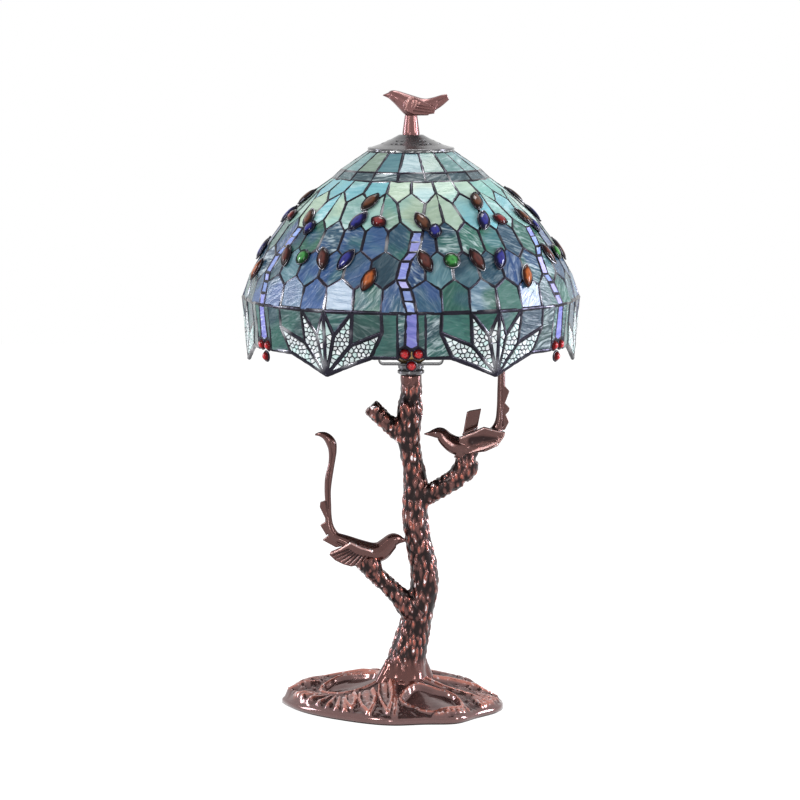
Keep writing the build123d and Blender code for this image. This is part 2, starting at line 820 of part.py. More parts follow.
def songbird(length, perch, tail, heading=0.0, wing_lift=0.0, head_lift=0.0):
    """A small bird with its wings laid on its sides. It looks towards -X before it is turned.

    perch is the point under its breast. wing_lift is the angle of its wings above the folded rest, and
    head_lift raises its head, as a share of its length.
    """

    def stations(rows):
        lifts = [head_lift * max(0.0, along / bird_body[0][0]) for along, _, _ in rows]
        return [(a * length, 0, (u + lift) * length, r * length) for (a, u, r), lift in zip(rows, lifts)]

    bird = Part() + limb(*stations(bird_body))
    bird += limb(*stations(tail_root + tail), spacing=tail_spacing * length)
    outline = make_face(Spline(*[(x * length, y * length) for x, y in bird_wing], periodic=True))
    blade = extrude(outline, bird_wing_thickness * length / 2, both=True)
    along, out, up = [share * length for share in bird_shoulder]
    for side in (-1, 1):
        bird += Pos(along, side * out, up) * Rot(X=90 + side * (wing_lift + wing_rest)) * blade
    return (Pos(*perch) * Rot(Z=heading) * bird).solid()


# ---- Foot ----

base_screw_places = [(root_centre[0] + side * base_screw_spacing, root_centre[1]) for side in (-1, 1)]
grommet_outer_y = max(y for _, y in foot_outline[10:13]) + face_clearance * 4
grommet_way = Pos(root_centre[0], grommet_outer_y, grommet_height) * Rot(X=-90)


def foot_ring(scale, height):
    """The foot's outline shrunk about the root of the trunk, at a height."""
    x0, y0 = root_centre
    points = [(x0 + (x - x0) * scale, y0 + (y - y0) * scale, height) for x, y in foot_outline]
    return make_face(Spline(*points, periodic=True))


def standing_hole(place, radius, low, high):
    return Pos(*place, low) * Cylinder(radius, high - low, align=STANDING)


def make_foot():
    """The cast foot: a mound with roots and two ponds, hollow underneath."""
    x0, y0 = root_centre
    low = felt_thickness + foot_edge_round
    rings = ((1.0, low),) + foot_rings + ((0.2, trunk_foot_height),)
    foot = extrude(foot_ring(1.0, felt_thickness), foot_edge_round)
    foot += loft([foot_ring(*ring) for ring in rings])
    for x, y, radius in roots:
        stations = []
        for share, height, more in root_stations:
            stations.append((x0 + (x - x0) * share, y0 + (y - y0) * share, height, radius + more))
        tip = (x, y, felt_thickness + foot_edge_height - root_tip_radius / 2, root_tip_radius)
        foot += limb(*stations, tip, side=(0, 0, 1))
    for x, y, half_x, half_y, floor in ponds:
        bank = Ellipse(half_x + pond_bank, half_y + pond_bank)
        foot += Pos(x, y, floor - 1) * extrude(bank, pond_bank_height + 1)
        foot -= Pos(x, y, floor) * extrude(Ellipse(half_x, half_y), trunk_foot_height)
    foot -= loft([foot_ring(*ring) for ring in foot_hollow])
    foot -= standing_hole(root_centre, hub_radius, 0, hub_roof)
    foot -= standing_hole(root_centre, cord_way_radius + 1, 0, trunk_foot_height)
    for place in base_screw_places:
        foot -= standing_hole(place, base_screw_radius + screw_clearance, 0, trunk_foot_height)
    foot -= grommet_way * Cylinder(grommet_radius, 2 * hub_radius)
    block = Box(400, 400, trunk_foot_height - felt_thickness, align=STANDING)
    foot = foot & Pos(0, 0, felt_thickness) * block
    save("foot", foot.solid())


def make_base_fittings():
    """Felt, tie plate, base screws and the cord's grommet."""
    save("felt_pad", extrude(foot_ring(felt_share, 0), felt_thickness).solid())
    low = hub_roof - tie_plate_thickness
    plate = standing_hole(root_centre, hub_radius - 0.5, low, hub_roof)
    plate -= standing_hole(root_centre, cord_way_radius + 1, low, hub_roof)
    screws = []
    for place in base_screw_places:
        plate -= standing_hole(place, base_screw_radius + screw_clearance, low, hub_roof)
        head = standing_hole(place, base_screw_radius * 1.8, low - screw_head_height, low)
        slot = Box(base_screw_radius * 4, screw_slot, screw_head_height * 0.8)
        head -= Pos(*place, low - screw_head_height) * slot
        shank = standing_hole(place, base_screw_radius, low, trunk_foot_height + screw_depth)
        screws.append((head + shank).solid())
    save("tie_plate", plate.solid())
    save("base_screws", *screws)
    grommet = turned(
        (grommet_bore, -grommet_depth),
        (grommet_radius, -grommet_depth),
        (grommet_radius, 0),
        (grommet_flange_radius, 0),
        (grommet_flange_radius - 0.3, grommet_flange),
        (grommet_bore, grommet_flange),
    )
    save("cord_grommet", grommet_way * grommet)


# ---- Tree and birds ----


def grown(branch):
    """A branch's stations, from the trunk station that it grows from."""
    station, offsets = branch
    x0, y0, z0, _ = trunk_stations[station]
    return [(x0 + x, y0 + y, z0 + z, radius) for x, y, z, radius in offsets]


def make_tree():
    """The trunk with its cord way, the two branches on their dowels, and the birds on the branches."""
    trunk = limb(*trunk_stations) + limb(*grown(stub_branch))
    slab = Box(400, 400, trunk_height, align=STANDING)
    trunk = trunk & Pos(0, 0, trunk_foot_height) * slab
    paths = {"left_branch": grown(left_branch), "right_branch": grown(right_branch)}
    branches = {node: limb(*path) - trunk for node, path in paths.items()}
    trunk -= limb(*[(x, y, z, cord_way_radius) for x, y, z, _ in trunk_stations])
    nipple_hole = nipple_radius + thread_clearance
    trunk -= standing_hole((0, 0), nipple_hole, trunk_top_height - nipple_depth, trunk_top_height)
    for place in base_screw_places:
        trunk -= standing_hole(place, base_screw_radius, 0, trunk_foot_height + screw_depth)
    dowels = []
    for node, path in paths.items():
        start, end = Vector(*path[1][:3]), Vector(*path[2][:3])
        way = (end - start).normalized()
        dowel = rod(start - way * dowel_back, start + way * (dowel_length - dowel_back), dowel_radius)
        trunk -= dowel
        branches[node] -= dowel
        dowels.append(dowel)
    save("trunk", trunk.solid())
    save("branch_dowels", *dowels)
    left_perch = Vector(*paths["left_branch"][-1][:3]) + Vector(*left_bird_perch)
    right_perch = Vector(*paths["right_branch"][-1][:3]) + Vector(*right_bird_perch)
    birds = {
        "left_bird": songbird(left_bird_length, left_perch, left_bird_tail, heading=180, wing_lift=25),
        "right_bird": songbird(right_bird_length, right_perch, right_bird_tail, wing_lift=60),
    }
    for (node, branch), (bird_node, bird) in zip(branches.items(), birds.items()):
        save(node, branch.solid())
        save(bird_node, (bird - branch).solid())


# ---- Neck, harp and socket ----

collar_top = trunk_top_height + collar_height
saddle_top = collar_top + saddle_thickness
nipple_hole = nipple_radius + thread_clearance


def make_neck():
    """The threaded nipple and the neck collar that it clamps on the trunk."""
    nipple = tube(nipple_radius, nipple_bore, trunk_top_height - nipple_depth, trunk_top_height + nipple_rise)
    save("neck_nipple", nipple)
    outline = [(radius, trunk_top_height + collar_height * share) for radius, share in collar_outline]
    save("neck_collar", turned((nipple_hole, trunk_top_height), *outline, (nipple_hole, collar_top)))


def make_harp():
    """The saddle, the wire loop with its sliding ferrules, and the stud on top."""
    half, thick = saddle_half_span, saddle_thickness
    arm_top = collar_top + saddle_arm
    with BuildSketch(Plane.XZ) as strap:
        with BuildLine():
            corners = ((-half, arm_top), (-half, collar_top), (half, collar_top), (half, arm_top))
            inside = FilletPolyline(*corners, radius=saddle_bend)
            offset(inside, thick, side=Side.LEFT)
        make_face()
    saddle = extrude(strap.sketch, saddle_width / 2, both=True)
    saddle -= standing_hole((0, 0), nipple_hole, collar_top - 1, saddle_top + 1)
    leg = half - thick / 2
    foot = arm_top + peg_rise
    for side in (-1, 1):
        saddle += standing_hole((side * leg, 0), harp_wire, arm_top - 1, foot)
    save("harp_saddle", saddle.solid())

    top = seat_height - hub_depth + 4.5
    bend_low, bend_high = [foot + rise for rise in harp_shoulders]
    half_path = [(leg, foot), (leg, bend_low), (harp_half_width, bend_high)]
    half_path += [(harp_half_width, top - harp_crown), (harp_flat, top)]
    points = [(-x, 0, z) for x, z in half_path] + [(x, 0, z) for x, z in reversed(half_path)]
    path = FilletPolyline(*points, radius=harp_bend)
    wire = sweep(Plane(path @ 0, z_dir=path % 0) * Circle(harp_wire), path=path).solid()
    save("harp_loop", wire)
    sleeve = tube(harp_wire + ferrule_wall, harp_wire + thread_clearance, arm_top, arm_top + ferrule_length)
    save("harp_ferrules", *[Pos(side * leg, 0, 0) * sleeve for side in (-1, 1)])

    stud_top = seat_height + stud_rise
    hub = turned(
        (0, seat_height - hub_depth),
        (5.0, seat_height - hub_depth),
        (6.0, seat_height - hub_depth + 1),
        (6.0, seat_height - 3),
        (4.6, seat_height - 2),
        (6.2, seat_height - 1),
        (6.2, seat_height),
        (stud_radius, seat_height),
        (stud_radius, stud_top - 0.8),
        (stud_radius - 0.8, stud_top),
        (0, stud_top),
    )
    save("harp_stud", (hub - wire).solid())
    washer_bore = stud_radius + turning_clearance
    washer_top = seat_height + seat_washer_thickness
    save("seat_washer", tube(seat_washer_radius, washer_bore, seat_height, washer_top))


shell_foot = saddle_top + socket_rise
shell_top = shell_foot + shell_length
core_foot = shell_foot + 0.5
core_top = core_foot + core_height
key_way = Pos(0, 0, saddle_top + key_rise) * Rot(X=90)


def make_socket():
    """Cup, clamping nut, shell, insulating sleeve, core, thread, contact and turn key."""
    outer = socket_radius
    cup = turned(
        (nipple_hole, saddle_top),
        (9.0, saddle_top),
        (outer + 0.9, shell_foot - 2),
        (outer + 0.9, shell_foot + cup_cover),
        (outer + 0.05, shell_foot + cup_cover),
        (outer + 0.05, shell_foot - 1.4),
        (8.6, saddle_top + 1.6),
        (nipple_hole, saddle_top + 1.6),
    )
    save("socket_cup", cup)
    nut_low = saddle_top + 1.7
    nut = extrude(Pos(0, 0, nut_low) * RegularPolygon(nut_across, 6), nut_height)
    nut -= standing_hole((0, 0), nipple_hole, nut_low, nut_low + nut_height)
    save("nipple_nut", nut.solid())

    key_hole = key_way * Cylinder(key_stem_radius + 0.5, 2 * outer + 2, align=STANDING)
    shell = turned(
        (outer - socket_wall, shell_foot),
        (outer, shell_foot),
        (outer, shell_top - 2 * shell_bead),
        (outer + shell_bead, shell_top - shell_bead),
        (outer, shell_top),
        (outer - socket_wall, shell_top),
    )
    save("socket_shell", (shell - key_hole).solid())
    sleeve_outer = outer - socket_wall - 0.1
    sleeve_inner = sleeve_outer - 0.8
    sleeve = tube(sleeve_outer, sleeve_inner, core_foot, shell_top - 2)
    save("socket_sleeve", (sleeve - key_hole).solid())
    core_radius = sleeve_inner - 0.1
    core = standing_hole((0, 0), core_radius, core_foot, core_top)
    core -= standing_hole((0, 0), 3.0, core_foot, core_foot + 5)
    core -= key_way * Cylinder(key_stem_radius + turning_clearance, 2 * outer, align=STANDING)
    save("socket_core", core.solid())

    inner = bulb_base_radius + turning_clearance
    thread = turned(
        (inner, core_top),
        (core_radius - 0.2, core_top),
        (core_radius - 0.2, core_top + 0.6),
        (inner + 0.5, core_top + 0.6),
        (inner + 0.5, shell_top - 4),
        (inner, shell_top - 4),
    )
    save("socket_thread", thread)
    contact = Box(9, 4, 0.8, align=STANDING) + Pos(0, 0, 0.8) * Cylinder(2.5, 1.0, align=STANDING)
    save("socket_contact", (Pos(0, 0, core_top) * contact).solid())

    stem = Pos(0, 0, key_depth) * Cylinder(key_stem_radius, key_reach - key_depth, align=STANDING)
    grip_length, grip_width, grip_thickness = key_grip
    grip = extrude(SlotOverall(grip_length, grip_width), grip_thickness)
    save("switch_key", (key_way * (stem + Pos(0, 0, key_reach - grip_thickness) * grip)).solid())


def make_bulb():
    """A pear-shaped lamp: contact, insulator, threaded base and glass envelope."""
    foot = core_top + contact_gap
    base_low, base_top = foot + 3.0, shell_top - 1.0
    inside = bulb_base_radius - 0.5
    save("bulb_base", tube(bulb_base_radius, inside, base_low, base_top))
    seat, seat_top = inside - thread_clearance, base_low + 1.2
    insulator = ((0, foot + 0.9), (4.2, foot + 0.9), (seat, base_low), (seat, seat_top), (0, seat_top))
    save("bulb_insulator", turned(*insulator))
    save("bulb_contact", turned((0, foot), (3.2, foot), (4.1, foot + 0.8), (0, foot + 0.8)))
    top = foot + bulb_length
    middle = top - bulb_radius
    neck = inside - 0.1
    inner_neck, inner_radius = neck - bulb_wall, bulb_radius - bulb_wall
    with BuildSketch(Plane.XZ) as profile:
        with BuildLine():
            outer_way = ((neck, base_top - 6), (neck + 0.6, base_top + 8), (bulb_radius, middle))
            Spline(*outer_way, tangents=((0, 1), (0, 1)))
            CenterArc((0, middle), bulb_radius, 0, 90)
            Line((0, top), (0, top - bulb_wall))
            CenterArc((0, middle), inner_radius, 0, 90)
            inner_way = ((inner_radius, middle), (inner_neck + 0.6, base_top + 8), (inner_neck, base_top - 6))
            Spline(*inner_way, tangents=((0, -1), (0, -1)))
            Line((inner_neck, base_top - 6), (neck, base_top - 6))
        make_face()
    save("bulb_envelope", revolve(profile.sketch, Axis.Z).solid())


make_shade()
make_cap()
make_finial()
make_foot()
make_base_fittings()
make_tree()
make_neck()
make_harp()
make_socket()
make_bulb()
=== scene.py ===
import math
import random

import bmesh
import bpy
import numpy as np
from mathutils import Matrix, Vector, kdtree
from mathutils.bvhtree import BVHTree


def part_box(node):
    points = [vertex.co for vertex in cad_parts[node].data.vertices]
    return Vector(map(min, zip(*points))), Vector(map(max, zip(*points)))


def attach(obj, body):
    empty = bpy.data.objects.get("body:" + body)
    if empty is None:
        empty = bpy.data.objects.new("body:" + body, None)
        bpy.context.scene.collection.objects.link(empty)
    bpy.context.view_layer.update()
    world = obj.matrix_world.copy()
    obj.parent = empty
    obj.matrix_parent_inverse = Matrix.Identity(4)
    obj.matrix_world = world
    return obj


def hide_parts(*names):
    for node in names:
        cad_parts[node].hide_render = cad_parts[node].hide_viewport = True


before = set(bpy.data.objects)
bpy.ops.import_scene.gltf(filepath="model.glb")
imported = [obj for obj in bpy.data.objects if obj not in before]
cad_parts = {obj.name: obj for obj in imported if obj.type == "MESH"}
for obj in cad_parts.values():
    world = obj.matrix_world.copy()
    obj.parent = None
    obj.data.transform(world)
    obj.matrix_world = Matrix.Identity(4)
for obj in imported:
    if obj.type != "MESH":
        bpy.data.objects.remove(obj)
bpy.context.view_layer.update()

# Stained glass table lamp. Metres, +Z up, the shade's axis on Z.

MM = 0.001
SEED = 7
UP = Vector((0, 0, 1))
WELD = 1e-6  # points nearer than this are one

# ---- Mesh helpers ----


def linked(name, data):
    """A new object in the scene, at the origin."""
    piece = bpy.data.objects.new(name, data)
    bpy.context.scene.collection.objects.link(piece)
    return piece


def mesh_of(name, work, turned=True):
    """The mesh that a bmesh makes, with its faces turned outwards."""
    if turned:
        bmesh.ops.recalc_face_normals(work, faces=work.faces)
    mesh = bpy.data.meshes.new(name)
    work.to_mesh(mesh)
    work.free()
    return mesh


def object_from(name, vertices, edges, faces):
    mesh = bpy.data.meshes.new(name)
    mesh.from_pydata([tuple(place) for place in vertices], edges, faces)
    mesh.update()
    return linked(name, mesh)


def welded(node):
    """A copy of a node's mesh with its doubled points made one."""
    work = bmesh.new()
    work.from_mesh(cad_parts[node].data)
    bmesh.ops.remove_doubles(work, verts=work.verts, dist=WELD)
    return mesh_of(node, work, turned=False)


def smooth(piece):
    piece.data.polygons.foreach_set("use_smooth", [True] * len(piece.data.polygons))
    return piece


def baked(piece):
    """The piece with its modifiers applied."""
    graph = bpy.context.evaluated_depsgraph_get()
    mesh = bpy.data.meshes.new_from_object(piece.evaluated_get(graph))
    piece.modifiers.clear()
    piece.data = mesh
    return piece


def finished(piece, body, slot, material, *nodes):
    """A piece with its finish, riding on its body in place of the frame's nodes."""
    piece.data.materials.clear()
    piece.data.materials.append(material)
    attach(piece, body)
    if nodes:
        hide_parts(*nodes)


def float_attribute(mesh, name, values):
    attribute = mesh.attributes.get(name) or mesh.attributes.new(name, "FLOAT", "POINT")
    attribute.data.foreach_set("value", np.asarray(values, np.float32))


def mesh_arrays(mesh):
    """Places and normals of a mesh's points."""
    spots, ways = (np.empty(len(mesh.vertices) * 3, np.float32) for _ in range(2))
    mesh.vertices.foreach_get("co", spots)
    mesh.vertex_normals.foreach_get("vector", ways)
    return spots.reshape(-1, 3), ways.reshape(-1, 3)


def looped(ring):
    """Each item of a ring with the one after it."""
    return zip(ring, ring[1:] + ring[:1])


def turns(count):
    """Equal angles once round a circle."""
    return [2 * math.pi * step / count for step in range(count)]


def bands(work, rows):
    """Faces from every ring of corners to the next one."""
    faces = []
    for low, high in zip(rows, rows[1:]):
        for (one, two), (four, three) in zip(looped(low), looped(high)):
            faces.append(work.faces.new((one, two, three, four)))
    return faces


def prism(work, outer, inner):
    """Closed sides and two flat ends between two rings of places: its corners and its faces."""
    top, bottom = ([work.verts.new(place) for place in ring] for ring in (outer, inner))
    faces = [work.faces.new(top), work.faces.new(bottom[::-1])]
    for (one, two), (four, three) in zip(looped(top), looped(bottom)):
        faces.append(work.faces.new((one, four, three, two)))
    return top + bottom, faces


def ring_faces(rings, count, closed=False):
    """Faces between rings of corners that are numbered in turn."""
    faces = []
    for ring in range(rings if closed else rings - 1):
        here, there = ring * count, (ring + 1) % rings * count
        for corner in range(count):
            after = (corner + 1) % count
            faces.append((here + corner, there + corner, there + after, here + after))
    return faces


# ---- Shader helpers ----


class Wiring:
    """Adds and links nodes in one tree."""

    def __init__(self, tree):
        self.tree = tree

    def feed(self, socket, value):
        """Links a socket to another, or sets its value."""
        if isinstance(value, bpy.types.NodeSocket):
            self.tree.links.new(value, socket)
        else:
            socket.default_value = value

    def set(self, node, **inputs):
        for key, value in inputs.items():
            self.feed(node.inputs[key.replace("_", " ")], value)
        return node

    def add(self, kind, settings=None, **inputs):
        node = self.tree.nodes.new(kind)
        for key, value in (settings or {}).items():
            setattr(node, key, value)
        return self.set(node, **inputs)

    def out(self, kind, settings=None, **inputs):
        """The first output of a node whose inputs are fed by name."""
        return self.add(kind, settings, **inputs).outputs[0]

    def put(self, kind, settings, *values):
        """The first output of a node whose inputs are fed in order."""
        node = self.add(kind, settings)
        for socket, value in zip(node.inputs, values):
            self.feed(socket, value)
        return node.outputs[0]

    def math(self, operation, one, other, clamp=False):
        return self.put("ShaderNodeMath", {"operation": operation, "use_clamp": clamp}, one, other)

    def times(self, one, other, clamp=False):
        return self.math("MULTIPLY", one, other, clamp)

    def plus(self, one, other):
        return self.math("ADD", one, other)

    def minus(self, one, other):
        return self.math("SUBTRACT", one, other)

    def mix(self, factor, one, other, blend="MIX"):
        node = self.add("ShaderNodeMix", {"data_type": "RGBA", "blend_type": blend})
        for index, value in ((0, factor), (6, one), (7, other)):
            self.feed(node.inputs[index], value)
        return node.outputs[2]

    def ramp(self, value, low, high, start=0.0, end=1.0):
        """A smooth step from start to end while a value goes from low to high."""
        return self.put("ShaderNodeMapRange", {"interpolation_type": "SMOOTHSTEP"}, value, low, high, start, end)

    def noise(self, place, scale, detail=2.0, distortion=0.0):
        node = self.add("ShaderNodeTexNoise", Vector=place, Scale=scale, Detail=detail, Distortion=distortion)
        return node.outputs["Fac"]

    def stretched(self, place, sizes):
        return self.put("ShaderNodeVectorMath", {"operation": "MULTIPLY"}, place, sizes)

    def place(self):
        return self.add("ShaderNodeTexCoord").outputs["Object"]

    def attribute(self, name):
        return self.add("ShaderNodeAttribute", {"attribute_name": name}).outputs

    def bump(self, height, strength, distance):
        return self.out("ShaderNodeBump", Strength=strength, Distance=distance, Height=height)


def tree_of(kind, name, inputs, outputs):
    """A tree with named sockets, each given as its kind or as a number: the tree, its wiring and both its ends."""
    tree = bpy.data.node_groups.new(name, kind)
    for way, sockets in (("INPUT", inputs), ("OUTPUT", outputs)):
        for label, given in sockets.items():
            number = isinstance(given, float)
            socket_type = "NodeSocket" + ("Float" if number else given)
            socket = tree.interface.new_socket(label, in_out=way, socket_type=socket_type)
            if number:
                socket.default_value = given
    w = Wiring(tree)
    return tree, w, w.add("NodeGroupInput").outputs, w.add("NodeGroupOutput")


def opaque(colour):
    return (*colour, 1.0)


def surface(name, **values):
    """A material with one Principled shader: its wiring and the shader."""
    material = bpy.data.materials.new(name)
    material.use_nodes = True
    w = Wiring(material.node_tree)
    return material, w, w.set(material.node_tree.nodes["Principled BSDF"], **values)


# ---- Shared effects ----

# Glass: the spans of noise over which it turns milky, wispy, blushed and deep, and how far it does
MILKY, WISPY, BLUSHED, DEEP = (0.46, 0.72), (0.45, 0.75), (0.44, 0.66), (0.48, 0.28)
WISP_SHARE, BLUSH_SHARE, MILK_SHARE = 0.45, 0.75, 0.42
FINE_STREAKS, BROAD_STREAKS = 2.4, 0.6  # over the scale of the wide ones
MILK_COLOUR = opaque((0.80, 0.92, 0.94))
DEEP_COLOUR = opaque((0.34, 0.50, 0.62))
# Cast metal: the spans of relief that are dark, that are rubbed bright and that carry painted glints, and the span of
# noise where the painted glint specks fall
HOLLOW, CREST, GLINT_RELIEF, GLINT_SPECK_NOISE = (-0.42, -0.02), (0.02, 0.42), (0.08, 0.24), (0.59, 0.66)
COATED = (-0.40, 0.10)
LEAST_COAT = 0.12
PATCH_SHARE = 0.35  # of the patches' noise in the relief
HOLLOW_ROUGHNESS, GRAIN_ROUGHNESS = 0.25, 0.12
# The pale colour of the painted glints: specks of painted highlight on raised metal
PAINTED_GLINT_COLOUR = opaque((0.90, 0.84, 0.86))


def streaks_group():
    """Opalescent glass: wispy streaks along the pane's own grain, between a deep and a milky tint."""
    sizes = {"Own": 1.0, "Stretch": 3.0, "Scale": 60.0, "Milk": 0.35, "Depth": 0.5}
    group, w, given, result = tree_of("ShaderNodeTree", "opal streaks", {"Tint": "Color", "Second": "Color", **sizes},
                                      {"Colour": "Color", "Height": "Float"})
    grain = w.add("ShaderNodeUVMap", {"uv_map": "grain"}).outputs["UV"]
    drawn = w.stretched(grain, w.out("ShaderNodeCombineXYZ", X=1.0, Y=given["Stretch"], Z=1.0))
    wide = w.noise(drawn, given["Scale"], 3.0, 1.4)
    fine = w.noise(drawn, w.times(given["Scale"], FINE_STREAKS), 3.0, 0.6)
    broad = w.noise(grain, w.times(given["Scale"], BROAD_STREAKS), 1.0)
    base = w.mix(w.times(w.ramp(broad, *BLUSHED), BLUSH_SHARE), given["Tint"], given["Second"])
    wisps = w.math("MAXIMUM", w.ramp(wide, *MILKY), w.times(w.ramp(fine, *WISPY), WISP_SHARE))
    milk = w.times(w.times(wisps, given["Own"]), given["Milk"], clamp=True)
    tinted = w.mix(milk, base, w.mix(MILK_SHARE, base, MILK_COLOUR))
    deep = w.times(w.ramp(wide, *DEEP), given["Depth"])
    w.set(result, Colour=w.mix(deep, tinted, w.mix(1.0, tinted, DEEP_COLOUR, "MULTIPLY")), Height=wide)
    return group


def cast_group():
    """Cast and rubbed metal: dark in its hollows, rubbed brighter where it stands out, with pale specks of painted
    glint on its raised parts, and a fine grain.
    """
    colours = {"Body": "Color", "Hollow": "Color", "Crest": "Color"}
    group, w, given, result = tree_of("ShaderNodeTree", "cast finish", {**colours, "Grain": 900.0, "Wear": 0.0},
                                      {"Colour": "Color", "Roughness": "Float", "Coat": "Float", "Height": "Float"})
    place = w.place()
    grain = w.noise(place, given["Grain"], 3.0)
    patch = w.minus(w.noise(place, 70.0, 3.0), 0.5)
    level = w.plus(w.attribute("relief")["Fac"], w.times(patch, PATCH_SHARE))
    low = w.ramp(level, *HOLLOW, 1.0, 0.0)
    colour = w.mix(low, given["Body"], given["Hollow"])
    colour = w.mix(w.ramp(level, *CREST), colour, given["Crest"])
    # Painted highlight: pale specks on the raised parts that stand in for glints
    spots = w.noise(w.stretched(place, (1.0, 1.0, 0.5)), 330.0, 1.0)
    painted_glints = w.times(w.times(w.ramp(spots, *GLINT_SPECK_NOISE), w.ramp(level, *GLINT_RELIEF)), given["Wear"])
    rough = w.plus(w.times(low, HOLLOW_ROUGHNESS), w.times(grain, GRAIN_ROUGHNESS))
    w.set(result, Colour=w.mix(painted_glints, colour, PAINTED_GLINT_COLOUR), Roughness=rough,
          Coat=w.ramp(level, *COATED, LEAST_COAT, 1.0), Height=grain)
    return group


STREAKS = streaks_group()
CAST = cast_group()

# ---- Materials ----


def glass_material(name, milk, depth, scale, stretch):
    """Art glass. Its tints are the piece's own."""
    material, w, shader = surface(name, Roughness=0.22, IOR=1.5, Specular_IOR_Level=0.34)
    tint = w.attribute("tint")
    streaks = w.add("ShaderNodeGroup", {"node_tree": STREAKS}, Stretch=stretch, Scale=scale, Milk=milk, Depth=depth,
                    Tint=tint["Color"], Own=tint["Alpha"], Second=w.attribute("blush")["Color"]).outputs
    w.set(shader, Base_Color=streaks["Colour"], Normal=w.bump(streaks["Height"], 0.5, 0.8 * MM))
    return material


# Its last share sets how much painted glint, pale specks of painted highlight, its raised parts show
def cast_material(name, body, hollow, crest, roughness, metallic=0.75, grain=900.0, bump=0.12, coat=0.35, glint=0.0):
    material, w, shader = surface(name, Metallic=metallic, Coat_Roughness=0.06)
    finish = w.add("ShaderNodeGroup", {"node_tree": CAST}, Body=opaque(body), Hollow=opaque(hollow),
                   Crest=opaque(crest), Grain=grain, Wear=glint).outputs
    w.set(shader, Base_Color=finish["Colour"], Roughness=w.plus(finish["Roughness"], roughness),
          Normal=w.bump(finish["Height"], bump, 0.4 * MM))
    if coat:
        w.set(shader, Coat_Weight=w.times(finish["Coat"], coat))
    return material


def jewel_material(name, deep, lit):
    """Clear cast glass with painted light: a painted shade colour at the rim and a painted lit ring inside it, where
    light through the dome would glow.
    """
    material, w, shader = surface(name, Roughness=0.12, IOR=1.5, Specular_IOR_Level=0.08, Coat_Roughness=0.02)
    rise = w.attribute("rise")["Fac"]
    swirl = w.minus(w.noise(w.place(), 110.0, 2.0, 2.0), 0.5)
    level = w.plus(rise, w.times(swirl, 0.5))
    # Painted light: the lit colour fills a ring, the painted shade colour fills the rim, and the top is partly shaded
    ring = w.times(w.ramp(level, 0.22, 0.60), w.ramp(level, 0.68, 1.0, 1.0, 0.45))
    w.set(shader, Coat_Weight=w.ramp(rise, 0.25, 0.75, 0.08, 0.70), Base_Color=w.mix(ring, opaque(deep), opaque(lit)))
    return material


def plain_material(name, colour, roughness, metallic=0.0, scale=400.0, mottle=0.15):
    """A plain finish with a light mottle and fine bump."""
    material, w, shader = surface(name, Metallic=metallic)
    noise = w.noise(w.place(), scale, 4.0)
    darker = [channel * (1 - mottle * 2) for channel in colour]
    w.set(shader, Base_Color=w.mix(w.ramp(noise, 0.35, 0.65), opaque(darker), opaque(colour)),
          Roughness=w.ramp(noise, 0.3, 0.7, roughness - 0.05, roughness + 0.08), Normal=w.bump(noise, 0.08, 0.3 * MM))
    return material


# The last share given to a cast finish is how much painted glint its raised parts show
BRONZE = cast_material("cast bronze", (0.105, 0.038, 0.032), (0.012, 0.006, 0.006), (0.32, 0.080, 0.052),
                       0.03, coat=0.45, glint=0.9)
BIRD_BRONZE = cast_material("dark bird bronze", (0.088, 0.034, 0.029), (0.020, 0.008, 0.008), (0.44, 0.26, 0.24),
                            0.08, coat=0.5, glint=0.95)
FOOT_BRONZE = cast_material("foot bronze", (0.150, 0.076, 0.071), (0.026, 0.015, 0.016), (0.44, 0.15, 0.11),
                            0.05, coat=0.6, glint=0.4)
COPPER = cast_material("copper bronze", (0.165, 0.070, 0.066), (0.060, 0.024, 0.023), (0.38, 0.19, 0.17),
                       0.20, bump=0.02)
PEWTER = cast_material("dark pewter", (0.100, 0.097, 0.101), (0.02, 0.02, 0.02), (0.32, 0.32, 0.33),
                       0.18, coat=0.3, glint=0.6)
SOLDER = cast_material("patinated solder", (0.020, 0.018, 0.028), (0.008, 0.008, 0.012), (0.34, 0.34, 0.36),
                       0.13, metallic=0.9, grain=500.0, bump=0.3, coat=0.0)
BRIGHT_SOLDER = cast_material("bright solder", (0.16, 0.155, 0.16), (0.02, 0.02, 0.025), (0.62, 0.62, 0.62),
                              0.12, metallic=0.9, grain=500.0, bump=0.3)
PANE_GLASS = glass_material("opalescent glass", 0.50, 0.60, 55.0, 3.6)
MINT_GLASS = glass_material("mint opalescent glass", 0.40, 0.35, 42.0, 3.0)
MOSAIC_GLASS = glass_material("pearly mosaic glass", 0.25, 0.25, 120.0, 1.0)
BRASS = plain_material("antique brass", (0.32, 0.21, 0.085), 0.34, metallic=1.0)
STEEL = plain_material("zinc plated steel", (0.55, 0.55, 0.54), 0.32, metallic=1.0)
BLACK_PLASTIC = plain_material("black moulded plastic", (0.018, 0.018, 0.018), 0.42)
FIBRE = plain_material("insulating fibre", (0.62, 0.55, 0.42), 0.7)
FELT = plain_material("felt", (0.045, 0.035, 0.03), 0.95, scale=1500.0, mottle=0.3)
FROSTED = plain_material("frosted bulb glass", (0.86, 0.86, 0.84), 0.34, scale=60.0, mottle=0.02)
